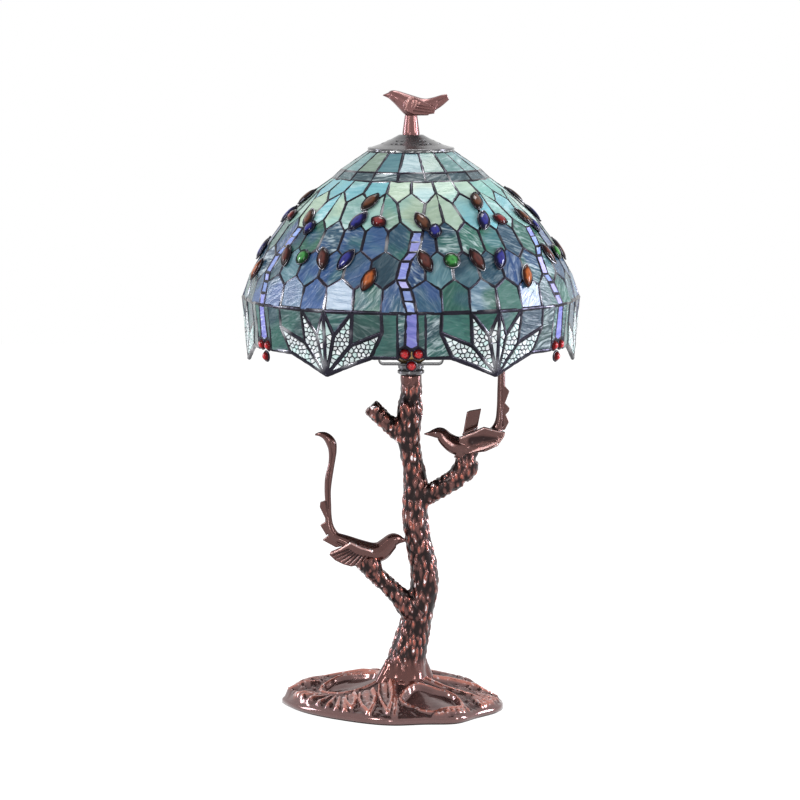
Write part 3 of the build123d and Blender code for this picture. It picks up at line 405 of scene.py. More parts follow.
# Jewels: node, name, the painted shade colour at the rim, and the painted lit colour of the ring
JEWELS = {node: jewel_material(name, deep, lit) for node, name, deep, lit in (
    ("amber_jewels", "amber glass", (0.010, 0.004, 0.003), (0.085, 0.024, 0.007)),
    ("brown_jewels", "brown red glass", (0.010, 0.003, 0.003), (0.066, 0.012, 0.008)),
    ("red_jewels", "red glass", (0.026, 0.002, 0.003), (0.16, 0.009, 0.009)),
    ("cobalt_jewels", "cobalt glass", (0.002, 0.002, 0.016), (0.010, 0.012, 0.15)),
    ("green_jewels", "green glass", (0.003, 0.026, 0.005), (0.03, 0.19, 0.035)),
    ("orange_jewels", "orange glass", (0.036, 0.007, 0.002), (0.31, 0.072, 0.012)),
)}
# The berries' glass, with the same painted shade at the rim and painted lit ring
BERRY = jewel_material("ruby glass", (0.075, 0.001, 0.002), (0.36, 0.006, 0.010))

# ---- Stage: camera, lamps and floor ----

VIEW_DISTANCE = 2.8
VIEW_WIDTH = 0.7343  # of the picture at the shade's axis
VIEW_CENTRE = Vector((-0.010, 0.0, 0.2888))
VIEW_ELEVATION = math.radians(7.5)
SENSOR_WIDTH = 36
WORLD_LIGHT = 0.50  # strength of the white world on the object; it is seen at 1
FLOOR_SIZE = 6.0
FLOOR_SHARE = 0.74  # of plain white in what the eye sees of the floor
FLOOR_GLOW = 1.22
WHITE, RIM_TINT = (1.0, 1.0, 1.0), (0.86, 0.88, 1.0)
LAMP_TARGET = Vector((0, 0, 0.3))
LAMPS = (  # name, place, size, power, colour
    ("left softbox", (-1.5, -1.6, 1.5), (0.38, 0.75), 26, WHITE),
    ("right softbox", (1.8, -1.1, 1.0), (0.30, 0.85), 16, WHITE),
    ("top softbox", (0.2, 0.5, 2.1), (0.7, 0.7), 14, WHITE),
    ("low strip", (-0.5, -2.1, 0.35), (0.16, 0.6), 5, WHITE),
    ("left rim", (-1.9, 0.25, 0.7), (0.30, 1.1), 23, RIM_TINT),
    ("right rim", (1.9, 0.10, 0.6), (0.30, 1.1), 40, RIM_TINT),
)


def aimed(piece, place, target):
    piece.location = place
    piece.rotation_euler = (target - piece.location).to_track_quat("-Z", "Y").to_euler()


def make_camera():
    camera = linked("camera", bpy.data.cameras.new("camera"))
    camera.data.sensor_width = SENSOR_WIDTH
    camera.data.lens = SENSOR_WIDTH * VIEW_DISTANCE / VIEW_WIDTH
    camera.data.clip_end = 50
    away = Vector((0, -math.cos(VIEW_ELEVATION), math.sin(VIEW_ELEVATION)))
    aimed(camera, VIEW_CENTRE + away * VIEW_DISTANCE, VIEW_CENTRE)
    bpy.context.scene.camera = camera


def make_lamp(name, place, size, power, colour):
    data = bpy.data.lights.new(name, "AREA")
    data.shape = "RECTANGLE"
    data.size, data.size_y = size
    data.energy = power
    data.color = colour
    aimed(linked(name, data), place, LAMP_TARGET)


def seen_white(w):
    """One where the eye, a reflection or a clear part looks, and zero for the light that falls on the object."""
    path = w.add("ShaderNodeLightPath").outputs
    seen = w.math("MAXIMUM", path["Is Camera Ray"], path["Is Glossy Ray"])
    return w.math("MAXIMUM", seen, path["Is Transmission Ray"])


def make_world():
    world = bpy.data.worlds.new("studio")
    world.use_nodes = True
    bpy.context.scene.world = world
    w = Wiring(world.node_tree)
    strength = w.ramp(seen_white(w), 0.0, 1.0, WORLD_LIGHT, 1.0)
    w.set(world.node_tree.nodes["Background"], Color=opaque(WHITE), Strength=strength)


def make_floor():
    half = FLOOR_SIZE / 2
    corners = [(-half, -half, 0), (half, -half, 0), (half, half, 0), (-half, half, 0)]
    floor = object_from("floor", corners, (), [(0, 1, 2, 3)])
    material, w, shader = surface("pale floor", Base_Color=opaque((0.93, 0.93, 0.93)), Roughness=0.9)
    glow = w.out("ShaderNodeEmission", Color=opaque(WHITE), Strength=FLOOR_GLOW)
    mixed = w.put("ShaderNodeMixShader", {}, w.times(seen_white(w), FLOOR_SHARE), shader.outputs[0], glow)
    w.set(material.node_tree.nodes["Material Output"], Surface=mixed)
    floor.data.materials.append(material)


make_camera()
make_world()
make_floor()
for lamp in LAMPS:
    make_lamp(*lamp)
bpy.context.scene.view_settings.view_transform = "Standard"

# ---- Leaded glass: panes and seams read from the frame's own panes ----

SEAM_WIDTH = 2.8 * MM  # of the lead between two panes of the frame
GLASS_THICKNESS = 2.4 * MM
UNDER_SEAM = 0.4 * MM  # left between a pane's edge and the middle of its seam
SAME_CORNER = 1.7 * MM  # corners of neighbouring panes nearer than this are one
ON_SEAM = 1.3 * MM  # a corner nearer to a seam than this splits it
SEAM_MIDDLE = (0.03, 0.97)  # the shares of a seam between which it can be split
SEAM_BEAD = 1.45 * MM  # half width of a soldered seam
PETAL_BEAD = 1.75 * MM
BEAD_SIZES = {"Spacing": 2.6 * MM, "Waver": 0.55, "Height": 1.35, "Blob": 1.12}
BEAD_SIDES, BLOB_RINGS = 8, 5
# The solder's relief: a painted highlight where a bead faces out and up, patchy brightness, and an overall darkening
OUTWARD_HIGHLIGHT, PATCH_LIGHT, SEAM_DARK = 0.22, 0.13, 0.26  # of the solder's relief
NEARLY_STRAIGHT = 0.12  # sine of the turn at a corner that a grown outline takes as straight
ONE_PLANE = math.radians(1)

PANE_NODES = ("crown_panes", "band_panes", "flame_panes", "sky_panes", "water_panes", "deep_panes", "stem_panes",
              "bud_panes", "petal_panes", "ground_panes")
# Panes: the slot, how far the grain turns, then the tints that each pane draws from
PANES = {
    "crown_panes": ("mint_glass", 0.5, (
        (0.060, 0.160, 0.185), (0.098, 0.195, 0.180), (0.15, 0.22, 0.165), (0.108, 0.215, 0.205))),
    "band_panes": ("dark_teal_glass", 0.5, (
        (0.020, 0.048, 0.060), (0.018, 0.040, 0.048), (0.030, 0.070, 0.078), (0.11, 0.21, 0.23))),
    "flame_panes": ("aqua_glass", 0.35, (
        (0.21, 0.38, 0.345), (0.13, 0.31, 0.27), (0.14, 0.36, 0.40), (0.29, 0.41, 0.34), (0.28, 0.38, 0.28))),
    "sky_panes": ("sky_glass", 0.8, (
        (0.025, 0.108, 0.083), (0.019, 0.056, 0.142), (0.038, 0.122, 0.144), (0.012, 0.046, 0.078),
        (0.019, 0.102, 0.064))),
    "water_panes": ("blue_glass", 1.2, (
        (0.014, 0.050, 0.148), (0.010, 0.040, 0.064), (0.020, 0.084, 0.068), (0.068, 0.156, 0.185),
        (0.018, 0.056, 0.108))),
    "deep_panes": ("deep_glass", 1.4, (
        (0.095, 0.165, 0.25), (0.020, 0.074, 0.104), (0.013, 0.048, 0.056), (0.019, 0.090, 0.068),
        (0.029, 0.067, 0.17))),
    "stem_panes": ("violet_glass", 0.5, (
        (0.17, 0.23, 0.50), (0.20, 0.22, 0.54), (0.18, 0.26, 0.53), (0.34, 0.32, 0.60))),
    "bud_panes": ("violet_glass", 0.5, ((0.11, 0.12, 0.38), (0.14, 0.14, 0.42))),
    "ground_panes": ("ground_glass", 0.5, (
        (0.010, 0.042, 0.040), (0.014, 0.080, 0.062), (0.012, 0.036, 0.058), (0.022, 0.095, 0.080))),
}
MINT_PANES = ("crown_panes", "flame_panes")
PANE_MILK = (0.25, 0.5, 0.7, 1.0, 1.9)
PANE_SHADE = (0.82, 1.15)
PANE_TILT = 0.9  # degrees, either way
PANE_FRONT = 0.1  # millimetres from the frame's own outer face
PANE_BACK = GLASS_THICKNESS - 0.3 * MM
PETAL_TINTS = ((0.50, 0.58, 0.56), (0.55, 0.60, 0.60), (0.44, 0.58, 0.55), (0.60, 0.62, 0.62))
PETAL_SHADE = (0.8, 1.1)
PETAL_FACES = (0.5, 2.0)  # of the plate under the tiles, in millimetres from the frame's own outer face
GRAIN_SHIFT = 9
MOSAIC_CELL = 4.3 * MM
MOSAIC_ROW = 0.87  # height of a row of tiles over a tile
MOSAIC_JITTER = 0.24  # in tiles
MOSAIC_REACH = 2.6  # in tiles, to the farthest neighbour that can bound one
MOSAIC_GROUT = 0.64 * MM
# Each tile's rings, from below its plate to its top: how far they are drawn in, and their level
MOSAIC_RINGS = ((MOSAIC_GROUT, -0.9 * MM), (MOSAIC_GROUT, -0.1 * MM), (MOSAIC_GROUT * 1.7, 0.55 * MM))


def outward_way(point):
    """Out and up from the lamp's axis, which every pane's outer face looks towards."""
    return (Vector((point.x, point.y, 0)).normalized() + UP).normalized()


def face_islands(work):
    """Groups of faces that hang together."""
    seen, groups = set(), []
    for start in work.faces:
        if start in seen:
            continue
        seen.add(start)
        groups.append([start])
        for face in groups[-1]:
            for other in [other for edge in face.edges for other in edge.link_faces]:
                if other not in seen:
                    seen.add(other)
                    groups[-1].append(other)
    return groups


def pane_outlines(node):
    """The outer face of every pane of a node: its corners in order, and its normal."""
    work = bmesh.new()
    work.from_mesh(welded(node))
    bmesh.ops.dissolve_limit(work, angle_limit=ONE_PLANE, verts=work.verts, edges=work.edges)
    outlines = []
    for group in face_islands(work):
        outer = [face for face in group if face.normal.dot(outward_way(face.calc_center_median())) > 0.3]
        face = max(outer, key=lambda one: one.calc_area())
        outlines.append(([corner.co.copy() for corner in face.verts], face.normal.copy()))
    work.free()
    return outlines


def grown_outline(corners, normal, amount):
    """The outline with every side moved outwards in its plane by an amount."""
    sides = []
    for corner, after in looped(corners):
        along = (after - corner).normalized()
        sides.append((corner + along.cross(normal) * amount, along))
    grown = []
    for (start, way), (other, turn) in zip(sides[-1:] + sides, sides):
        cross = way.cross(turn).dot(normal)
        if abs(cross) < NEARLY_STRAIGHT:
            grown.append(other)
        else:
            grown.append(start + way * ((other - start).cross(turn).dot(normal) / cross))
    return grown


def seam_corners():
    """One place for every corner that neighbouring panes share, and each pane's corners as places."""
    raw, owners = [], []
    for node, panes in outlines.items():
        for index, (corners, normal) in enumerate(panes):
            for corner in grown_outline(corners, normal, SEAM_WIDTH / 2):
                raw.append(corner - normal * GLASS_THICKNESS / 2)
                owners.append((node, index))
    tree = kdtree.KDTree(len(raw))
    for index, point in enumerate(raw):
        tree.insert(point, index)
    tree.balance()
    place_of, places = {}, []
    for index, point in enumerate(raw):
        if index in place_of:
            continue
        near = [other for _, other, _ in tree.find_range(point, SAME_CORNER) if other not in place_of]
        place_of.update(dict.fromkeys(near, len(places)))
        places.append(sum((raw[other] for other in near), Vector()) / len(near))
    rings = {}
    for index, owner in enumerate(owners):
        rings.setdefault(owner, []).append(place_of[index])
    return places, rings


def seam_edges(places, rings):
    """Every seam between two places once."""
    edges = {}
    spots = np.array([tuple(place) for place in places])
    near_start, near_end = SEAM_MIDDLE
    for ring in rings.values():
        for start, end in looped(ring):
            if start == end:
                continue
            origin, span = spots[start], spots[end] - spots[start]
            share = (spots - origin) @ span / (span @ span)
            off = np.linalg.norm(spots - origin - np.outer(share, span), axis=1)
            between = np.nonzero((share > near_start) & (share < near_end) & (off < ON_SEAM))[0]
            chain = [start] + sorted(between, key=lambda spot: share[spot]) + [end]
            edges.update(dict.fromkeys((min(pair), max(pair)) for pair in zip(chain, chain[1:])))
    return list(edges)


def bead_tree(material):
    """A soldered bead along every edge, with a blob where seams meet."""
    tree, w, given, result = tree_of("GeometryNodeTree", "solder_bead", {"Geometry": "Geometry", **BEAD_SIZES},
                                     {"Geometry": "Geometry"})
    half = w.out("GeometryNodeInputNamedAttribute", {"data_type": "FLOAT"}, Name="half")
    away = w.out("GeometryNodeInputNamedAttribute", {"data_type": "FLOAT_VECTOR"}, Name="out")
    curve = w.out("GeometryNodeMeshToCurve", Mesh=given["Geometry"])
    curve = w.out("GeometryNodeResampleCurve", {"mode": "LENGTH"}, Curve=curve, Length=given["Spacing"])
    curve = w.out("GeometryNodeSetCurveNormal", {"mode": "FREE"}, Curve=curve, Normal=away)
    noise = w.add("ShaderNodeTexNoise", Scale=210.0, Detail=2.0).outputs["Fac"]
    swell = w.plus(w.times(w.minus(noise, 0.5), given["Waver"]), 1.0)
    curve = w.out("GeometryNodeSetCurveRadius", Curve=curve, Radius=w.times(half, swell))
    circle = w.out("GeometryNodeCurvePrimitiveCircle", Resolution=BEAD_SIDES, Radius=1.0)
    profile = w.out("GeometryNodeTransform", Geometry=circle,
                    Scale=w.out("ShaderNodeCombineXYZ", X=1.0, Y=given["Height"], Z=1.0))
    tube = w.out("GeometryNodeCurveToMesh", Curve=curve, Profile_Curve=profile, Fill_Caps=True,
                 Scale=w.out("GeometryNodeInputRadius"))
    ball = w.out("GeometryNodeMeshUVSphere", Segments=BEAD_SIDES, Rings=BLOB_RINGS, Radius=1.0)
    blobs = w.out("GeometryNodeInstanceOnPoints", Points=given["Geometry"], Instance=ball,
                  Scale=w.times(half, given["Blob"]))
    both = w.add("GeometryNodeJoinGeometry")
    for part in (tube, blobs):
        w.set(both, Geometry=part)
    real = w.out("GeometryNodeRealizeInstances", Geometry=both.outputs[0])
    soft = w.out("GeometryNodeSetShadeSmooth", Geometry=real)
    w.set(result, Geometry=w.out("GeometryNodeSetMaterial", Geometry=soft, Material=material))
    return tree


def grown_by(piece, tree, **sizes):
    """A piece put through a tree of nodes, with its sizes set by name."""
    modifier = piece.modifiers.new(tree.name, "NODES")
    modifier.node_group = tree
    for item in tree.interface.items_tree:
        if item.in_out == "INPUT" and item.name in sizes:
            modifier[item.identifier] = sizes[item.name]
    return baked(piece)


def seam_relief(mesh):
    """Relief of the solder, -0.5 to 0.5: a painted highlight on the side of each bead that faces out and up, with
    patchy brightness along it.
    """
    spots, ways = mesh_arrays(mesh)
    out = spots * np.array([1, 1, 0]) / np.linalg.norm(spots[:, :2], axis=1, keepdims=True)
    out[:, 2] = 0.5
    # Painted highlight: brighter where a bead faces out from the axis and up
    crest = (ways * out).sum(axis=1)
    patch = np.sin(spots[:, 0] * 210) + np.sin(spots[:, 1] * 190 + 1) + np.sin(spots[:, 2] * 240 + 2)
    return np.clip(OUTWARD_HIGHLIGHT * crest + PATCH_LIGHT * patch - SEAM_DARK, -0.5, 0.5)


def make_seams():
    """The solder of the dome and of its border, each as one piece."""
    places, rings = seam_corners()
    outs = [Vector() for _ in places]
    halves = [SEAM_BEAD] * len(places)
    for (node, index), ring in rings.items():
        for spot in ring:
            outs[spot] += outlines[node][index][1]
            if node == "petal_panes":
                halves[spot] = PETAL_BEAD
    fold_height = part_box("border_came")[1].z
    beads = bead_tree(SOLDER)
    parts = {"dome": [], "border": []}
    for edge in seam_edges(places, rings):
        middle = sum(places[spot].z for spot in edge) / 2
        parts["dome" if middle > fold_height else "border"].append(edge)
    for part, edges in parts.items():
        used = sorted({spot for edge in edges for spot in edge})
        number = {spot: index for index, spot in enumerate(used)}
        lines = [(number[start], number[end]) for start, end in edges]
        piece = object_from(part + "_seams", [places[spot] for spot in used], lines, ())
        float_attribute(piece.data, "half", [halves[spot] for spot in used])
        piece.data.attributes.new("out", "FLOAT_VECTOR", "POINT").data.foreach_set(
            "vector", np.array([tuple(outs[spot].normalized()) for spot in used], np.float32).ravel())
        grown_by(piece, beads)
        float_attribute(piece.data, "relief", seam_relief(piece.data))
        finished(piece, "shade", "lead", SOLDER, part + "_came")


# ---- Panes of glass ----


class PanePlane:
    """A pane's plane: its middle, and two directions that run level and up its slope."""

    def __init__(self, corners, normal):
        across = UP.cross(normal)
        self.across = across.normalized() if across.length > WELD else Vector((1, 0, 0))
        self.up = normal.cross(self.across).normalized()
        self.middle = sum(corners, Vector()) / len(corners)
        self.normal = normal

    def flat(self, place):
        offset = place - self.middle
        return Vector((offset.dot(self.across), offset.dot(self.up)))

    def lifted(self, place, level):
        return self.middle + self.across * place.x + self.up * place.y + self.normal * level


class GlassWork:
    """A bmesh of glass: its corners keep two tints and their milk, and its faces the way of the grain."""

    def __init__(self):
        self.work = bmesh.new()
        self.tint, self.blush = (self.work.verts.layers.float_color.new(name) for name in ("tint", "blush"))
        self.grain = self.work.loops.layers.uv.new("grain")

    def dress(self, corners, faces, tints, shade, milk, plane, turn, shift):
        for corner in corners:
            for layer, tint, alpha in zip((self.tint, self.blush), tints, (milk, 1.0)):
                corner[layer] = (*(channel * shade for channel in tint), alpha)
        for face in faces:
            for loop in face.loops:
                loop[self.grain].uv = Matrix.Rotation(turn, 2) @ plane.flat(loop.vert.co) + shift


def drawn_shift(chance):
    return Vector((chance.uniform(0, GRAIN_SHIFT), chance.uniform(0, GRAIN_SHIFT)))


def make_panes(node, slot, most_turn, tints, material):
    """Every pane of a node as flat glass that runs under its seams, with its own tint and grain."""
    chance = random.Random(f"{SEED} {node}")
    glass = GlassWork()
    for corners, normal in outlines[node]:
        plane = PanePlane(corners, normal)
        tilt = Matrix.Identity(3)
        for axis in (plane.across, plane.up):
            tilt = tilt @ Matrix.Rotation(math.radians(chance.uniform(-PANE_TILT, PANE_TILT)), 3, axis)
        ring = [plane.middle + tilt @ (place - plane.middle)
                for place in grown_outline(corners, normal, SEAM_WIDTH / 2 - UNDER_SEAM)]
        made = prism(glass.work, [place - normal * PANE_FRONT * MM for place in ring],
                     [place - normal * PANE_BACK for place in ring])
        drawn = chance.choice(tints), chance.choice(tints)
        shade = chance.uniform(*PANE_SHADE)
        milk = chance.choice(PANE_MILK)
        turn = chance.uniform(-1, 1) * most_turn
        glass.dress(*made, drawn, shade, milk, plane, turn, drawn_shift(chance))
    name = node.replace("_panes", "_glass")
    finished(linked(name, mesh_of(name, glass.work, turned=False)), "shade", slot, material, node)


def clipped(polygon, point, way):
    """The part of a flat polygon on the far side of a line from the way it faces."""
    kept = []
    for start, end in looped(polygon):
        one, other = (start - point).dot(way), (end - point).dot(way)
        if one <= 0:
            kept.append(start)
        if one * other < 0:
            kept.append(start + (end - start) * (one / (one - other)))
    return kept


def inside_polygon(place, polygon):
    """Whether a line to the right of a place crosses the polygon's sides an odd number of times."""
    crossings = False
    for (ax, ay), (bx, by) in looped(polygon):
        if (ay > place[1]) != (by > place[1]) and place[0] < (bx - ax) * (place[1] - ay) / (by - ay) + ax:
            crossings = not crossings
    return crossings


def mosaic_cells(polygon, chance):
    """Small tiles that fill a flat polygon, around jittered points."""
    left, right = (pick(place.x for place in polygon) for pick in (min, max))
    y, top = (pick(place.y for place in polygon) for pick in (min, max))
    seeds, row = [], 0
    while y < top:
        x = left + (MOSAIC_CELL / 2 if row % 2 else 0)
        while x < right:
            jitter = Vector((chance.uniform(-1, 1), chance.uniform(-1, 1))) * MOSAIC_CELL * MOSAIC_JITTER
            seed = Vector((x, y)) + jitter
            if inside_polygon(seed, polygon):
                seeds.append(seed)
            x += MOSAIC_CELL
        y += MOSAIC_CELL * MOSAIC_ROW
        row += 1
    cells = []
    for seed in seeds:
        cell = polygon
        for gap in [other - seed for other in seeds]:
            if 0 < gap.length < MOSAIC_CELL * MOSAIC_REACH and len(cell) > 2:
                cell = clipped(cell, seed + gap / 2, gap.normalized())
        if len(cell) > 2:
            cells.append(cell)
    return cells


def shrunk(cell, amount):
    """A small convex tile with its corners drawn in towards its middle."""
    middle = sum(cell, Vector((0, 0))) / len(cell)
    size = sum((place - middle).length for place in cell) / len(cell)
    return [middle + (place - middle) * max(0.0, 1 - amount / size) for place in cell]


def make_petals():
    """The petals: a dark plate of solder with pale tiles that stand out of it."""
    chance = random.Random(SEED)
    plates, tiles = bmesh.new(), GlassWork()
    for corners, normal in outlines["petal_panes"]:
        plane = PanePlane(corners, normal)
        ring = grown_outline(corners, normal, SEAM_WIDTH / 2 - UNDER_SEAM)
        prism(plates, *([place - normal * depth * MM for place in ring] for depth in PETAL_FACES))
        for cell in mosaic_cells([plane.flat(place) for place in corners], chance):
            rings = [[plane.lifted(place, level) for place in shrunk(cell, amount)] for amount, level in MOSAIC_RINGS]
            if len({tuple(round(v, 6) for v in place) for place in rings[-1]}) < 3:
                continue
            shade = chance.uniform(*PETAL_SHADE)
            tint = chance.choice(PETAL_TINTS)
            rows = [[tiles.work.verts.new(place) for place in ring] for ring in rings]
            faces = [tiles.work.faces.new(rows[-1]), tiles.work.faces.new(rows[0][::-1]), *bands(tiles.work, rows)]
            tiles.dress(sum(rows, []), faces, (tint, tint), shade, 1.0, plane, 0, drawn_shift(chance))
    for name, work, material, nodes in (("petal_plates", plates, SOLDER, ("petal_panes",)),
                                        ("petal_tiles", tiles.work, MOSAIC_GLASS, ())):
        finished(linked(name, mesh_of(name, work)), "shade", "pale_glass", material, *nodes)


# ---- Jewels and berries ----

JEWEL_OVERLAP = 1.16  # of a jewel over its seat
JEWEL_HEIGHT = 2.5 * MM
JEWEL_SINK = 1.2 * MM
JEWEL_BEZEL = 0.62 * MM  # half width of the solder round a jewel
JEWEL_BEZEL_SINK = 0.3  # millimetres under the back of its seat
BERRY_HEIGHT = 5.2 * MM
BERRY_SHARE = 0.98
BERRY_LIFT = 0.6  # millimetres over the back of its seat
BERRY_BEZEL = 0.75 * MM
BERRY_BEZEL_LIFT = 1.2  # millimetres over the berry's foot
ROUND, POINTED = 0.5, 0.78  # powers of an oval's outline
NEARLY_ROUND = 1.25  # of a jewel's length over its width
OVAL_CORNERS = 24
DOME_STEPS = 7
BEZEL_SIDES = 6
BEZEL_WAVER = (0.75, 1.3)
BEZEL_LEAN, BEZEL_HEIGHT = 0.3, 1.1  # outwards, and over its width
BEZEL_RELIEF = 0.12  # brighter than the seams


def jewel_seats(node):
    """Each jewel's seat: middle of its back, long axis, way out, half length and half width."""
    work = bmesh.new()
    work.from_mesh(welded(node))
    seats = []
    for group in face_islands(work):
        corners = sorted({corner for face in group for corner in face.verts}, key=lambda corner: corner.index)
        spots = np.array([tuple(corner.co) for corner in corners])
        middle = spots.mean(axis=0)
        axes = np.linalg.svd(spots - middle)[2]
        out = Vector(axes[2])
        if out.dot(outward_way(Vector(middle))) < 0:
            out = -out
        long = Vector(axes[0])
        reach = [(spots - middle) @ np.array(axis) for axis in (long, out.cross(long), out)]
        seats.append((Vector(middle) + out * reach[2].min(), long, out, np.ptp(reach[0]) / 2, np.ptp(reach[1]) / 2))
    work.free()
    return seats


def oval_places(seat, spread, power):
    """Places round a pointed or round oval on a seat."""
    middle, long, out, half_length, half_width = seat
    side = out.cross(long)
    places = []
    for turn in turns(OVAL_CORNERS):
        along = math.cos(turn)
        off = math.copysign(half_width * spread * (1 - along * along) ** power, math.sin(turn))
        flat = Vector((half_length * spread * along, off))
        places.append(middle + long * flat.x + side * flat.y)
    return places


def cabochon_into(work, rise, seat, height, power):
    """A domed jewel with a flat back."""
    middle, out = seat[0], seat[2]
    rows = []
    for step in range(DOME_STEPS):
        angle = step / DOME_STEPS * math.pi / 2
        spread = math.cos(angle)
        level = out * (math.sin(angle) * height)
        rows.append([work.verts.new(place + level) for place in oval_places(seat, spread, power)])
        for corner in rows[-1]:
            corner[rise] = 1 - spread
    top = work.verts.new(middle + out * height)
    top[rise] = 1.0
    work.faces.new(rows[0][::-1])
    bands(work, rows)
    for one, two in looped(rows[-1]):
        work.faces.new((one, two, top))


def bezel_into(work, seat, power, half, chance):
    """A wavy ring of solder round a jewel's foot."""
    middle, out = seat[0], seat[2]
    rows = []
    for foot in oval_places(seat, 1, power):
        away = (foot - middle).normalized()
        size = half * chance.uniform(*BEZEL_WAVER)
        rows.append([work.verts.new(foot + away * (BEZEL_LEAN * half + math.cos(turn) * size)
                                    + out * math.sin(turn) * size * BEZEL_HEIGHT) for turn in turns(BEZEL_SIDES)])
    bands(work, rows + rows[:1])


def make_jewels():
    """The set-on jewels, the berries, and the bezels of all of them as one piece."""
    chance = random.Random(SEED)
    rings = bmesh.new()
    pieces = []  # name, its bmesh, slot, material and nodes
    for node, material in JEWELS.items():
        work = bmesh.new()
        rise = work.verts.layers.float.new("rise")
        for middle, long, out, half_length, half_width in jewel_seats(node):
            halves = half_length * JEWEL_OVERLAP, half_width * JEWEL_OVERLAP
            power = POINTED
            if halves[0] < halves[1] * NEARLY_ROUND:
                power = ROUND
                halves = (sum(halves) / 2,) * 2
            foot, ring_foot = middle - out * JEWEL_SINK, middle - out * JEWEL_BEZEL_SINK * MM
            cabochon_into(work, rise, (foot, long, out, *halves), JEWEL_HEIGHT + JEWEL_SINK, power)
            bezel_into(rings, (ring_foot, long, out, *halves), power, JEWEL_BEZEL, chance)
        pieces.append((node + "_cut", work, node.replace("_jewels", "_glass"), material, (node,)))
    berries = bmesh.new()
    rise = berries.verts.layers.float.new("rise")
    for middle, long, out, _, half_width in jewel_seats("berries"):
        foot = middle + out * BERRY_LIFT * MM
        halves = (half_width * BERRY_SHARE,) * 2
        cabochon_into(berries, rise, (foot, long, out, *halves), BERRY_HEIGHT, ROUND)
        bezel_into(rings, (foot + out * BERRY_BEZEL_LIFT * MM, long, out, *halves), ROUND, BERRY_BEZEL, chance)
    pieces.append(("ruby_berries", berries, "red_glass", BERRY, ("berries",)))
    pieces.append(("jewel_bezels", rings, "lead", SOLDER, ()))
    for name, work, slot, material, nodes in pieces:
        piece = smooth(linked(name, mesh_of(name, work)))
        if work is rings:
            # The bezels take the solder's relief, its painted highlight included, a little brighter
            float_attribute(piece.data, "relief", seam_relief(piece.data) + BEZEL_RELIEF)
        finished(piece, "shade", slot, material, *nodes)


outlines = {node: pane_outlines(node) for node in PANE_NODES}
make_seams()
for node, pane in PANES.items():
    make_panes(node, *pane, MINT_GLASS if node in MINT_PANES else PANE_GLASS)
make_petals()
make_jewels()

# ---- Cast bronze: helpers ----

METRE = 1000  # in millimetres
SKIN_EASE = 0.5  # of the way to its neighbours that a point of a skin moves in one pass
LIMB_SIDES = 14
LIMB_STEPS = 4  # between two stations
LEAST_RADIUS = 0.3  # millimetres
RIDGE_TAPER, RIDGE_FALL = 0.45, 0.35  # what a ridge loses of its width and height towards its end


def fused(name, nodes, voxel, extras, passes):
    """The frame's own forms and added ones under one skin."""
    work = bmesh.new()
    for mesh in [welded(node) for node in nodes] + list(extras):
        work.from_mesh(mesh)
    piece = linked(name, mesh_of(name, work, turned=False))
    remesh = piece.modifiers.new("skin", "REMESH")
    remesh.mode = "VOXEL"
    remesh.voxel_size = voxel
    soften = piece.modifiers.new("soften", "SMOOTH")
    soften.factor = SKIN_EASE
    soften.iterations = passes
    return smooth(baked(piece))


def eased(stations):
    """Stations on a smooth curve through the given ones."""
    rows = [np.array(station, float) for station in stations]
    rows = [2 * rows[0] - rows[1]] + rows + [2 * rows[-1] - rows[-2]]
    curve = []
    for before, start, end, after in zip(rows, rows[1:], rows[2:], rows[3:]):
        for step in range(LIMB_STEPS):
            t = step / LIMB_STEPS
            curve.append(0.5 * (2 * start + (end - before) * t + (2 * before - 5 * start + 4 * end - after) * t ** 2
                                + (3 * start - before - 3 * end + after) * t ** 3))
    return curve + [rows[-2]]


def limb(stations):
    """A closed round form through (x, y, z, radius) stations in millimetres."""
    stations = eased(stations)
    points = [Vector(station[:3]) * MM for station in stations]
    work = bmesh.new()
    rows = []
    for index, (point, station) in enumerate(zip(points, stations)):
        way = (points[min(index + 1, len(points) - 1)] - points[max(index - 1, 0)]).normalized()
        side = (side - way * side.dot(way) if rows else way.orthogonal()).normalized()
        turned = way.cross(side)
        radius = max(LEAST_RADIUS, station[3]) * MM
        rows.append([work.verts.new(point + (side * math.cos(angle) + turned * math.sin(angle)) * radius)
                     for angle in turns(LIMB_SIDES)])
    bands(work, rows)
    work.faces.new(rows[0][::-1])
    work.faces.new(rows[-1])
    return mesh_of("limb", work)


def upright(depth, stations):
    """A limb in an upright plane, through (x, z, radius) stations."""
    return limb([(x, depth, z, radius) for x, z, radius in stations])


def plate(front, places, thickness):
    """A wing or a barb: its outline in X and Z, each place with its own depth in Y where one is given."""
    ring = [Vector(place if len(place) == 3 else (place[0], front, place[1])) * MM for place in places]
    work = bmesh.new()
    prism(work, ring, [place + Vector((0, thickness, 0)) * MM for place in ring])
    bmesh.ops.triangulate(work, faces=work.faces)
    return mesh_of("plate", work)


def smoothstep(values, low, high):
    share = np.clip((values - low) / (high - low), 0, 1)
    return share * share * (3 - 2 * share)


def ridge(spots, path, width, height, sharp=1.0):
    """Height of a rounded ridge along a path of places, over plan positions."""
    best = np.zeros(len(spots))
    path = [np.array(place, float) for place in path]
    for index, (start, end) in enumerate(zip(path, path[1:])):
        run = end - start
        share = np.clip((spots - start) @ run / (run @ run), 0, 1)
        gap = np.linalg.norm(spots - start - np.outer(share, run), axis=1)
        along = (index + share) / (len(path) - 1)
        shape = np.clip(1 - (gap / (width * (1 - RIDGE_TAPER * along))) ** 2, 0, 1) ** sharp
        best = np.maximum(best, shape * height * (1 - RIDGE_FALL * along))
    return best


# ---- Cast bronze: the tree ----

BARK_SIZES = {"Depth": 1.0 * MM, "Low": 0.0, "High": 1.0, "Fade": 20 * MM}
BARK_WARP = (5 * MM, 5 * MM, 8 * MM)
LUMP_SHARE, FURROW_SHARE = 0.85, 0.15


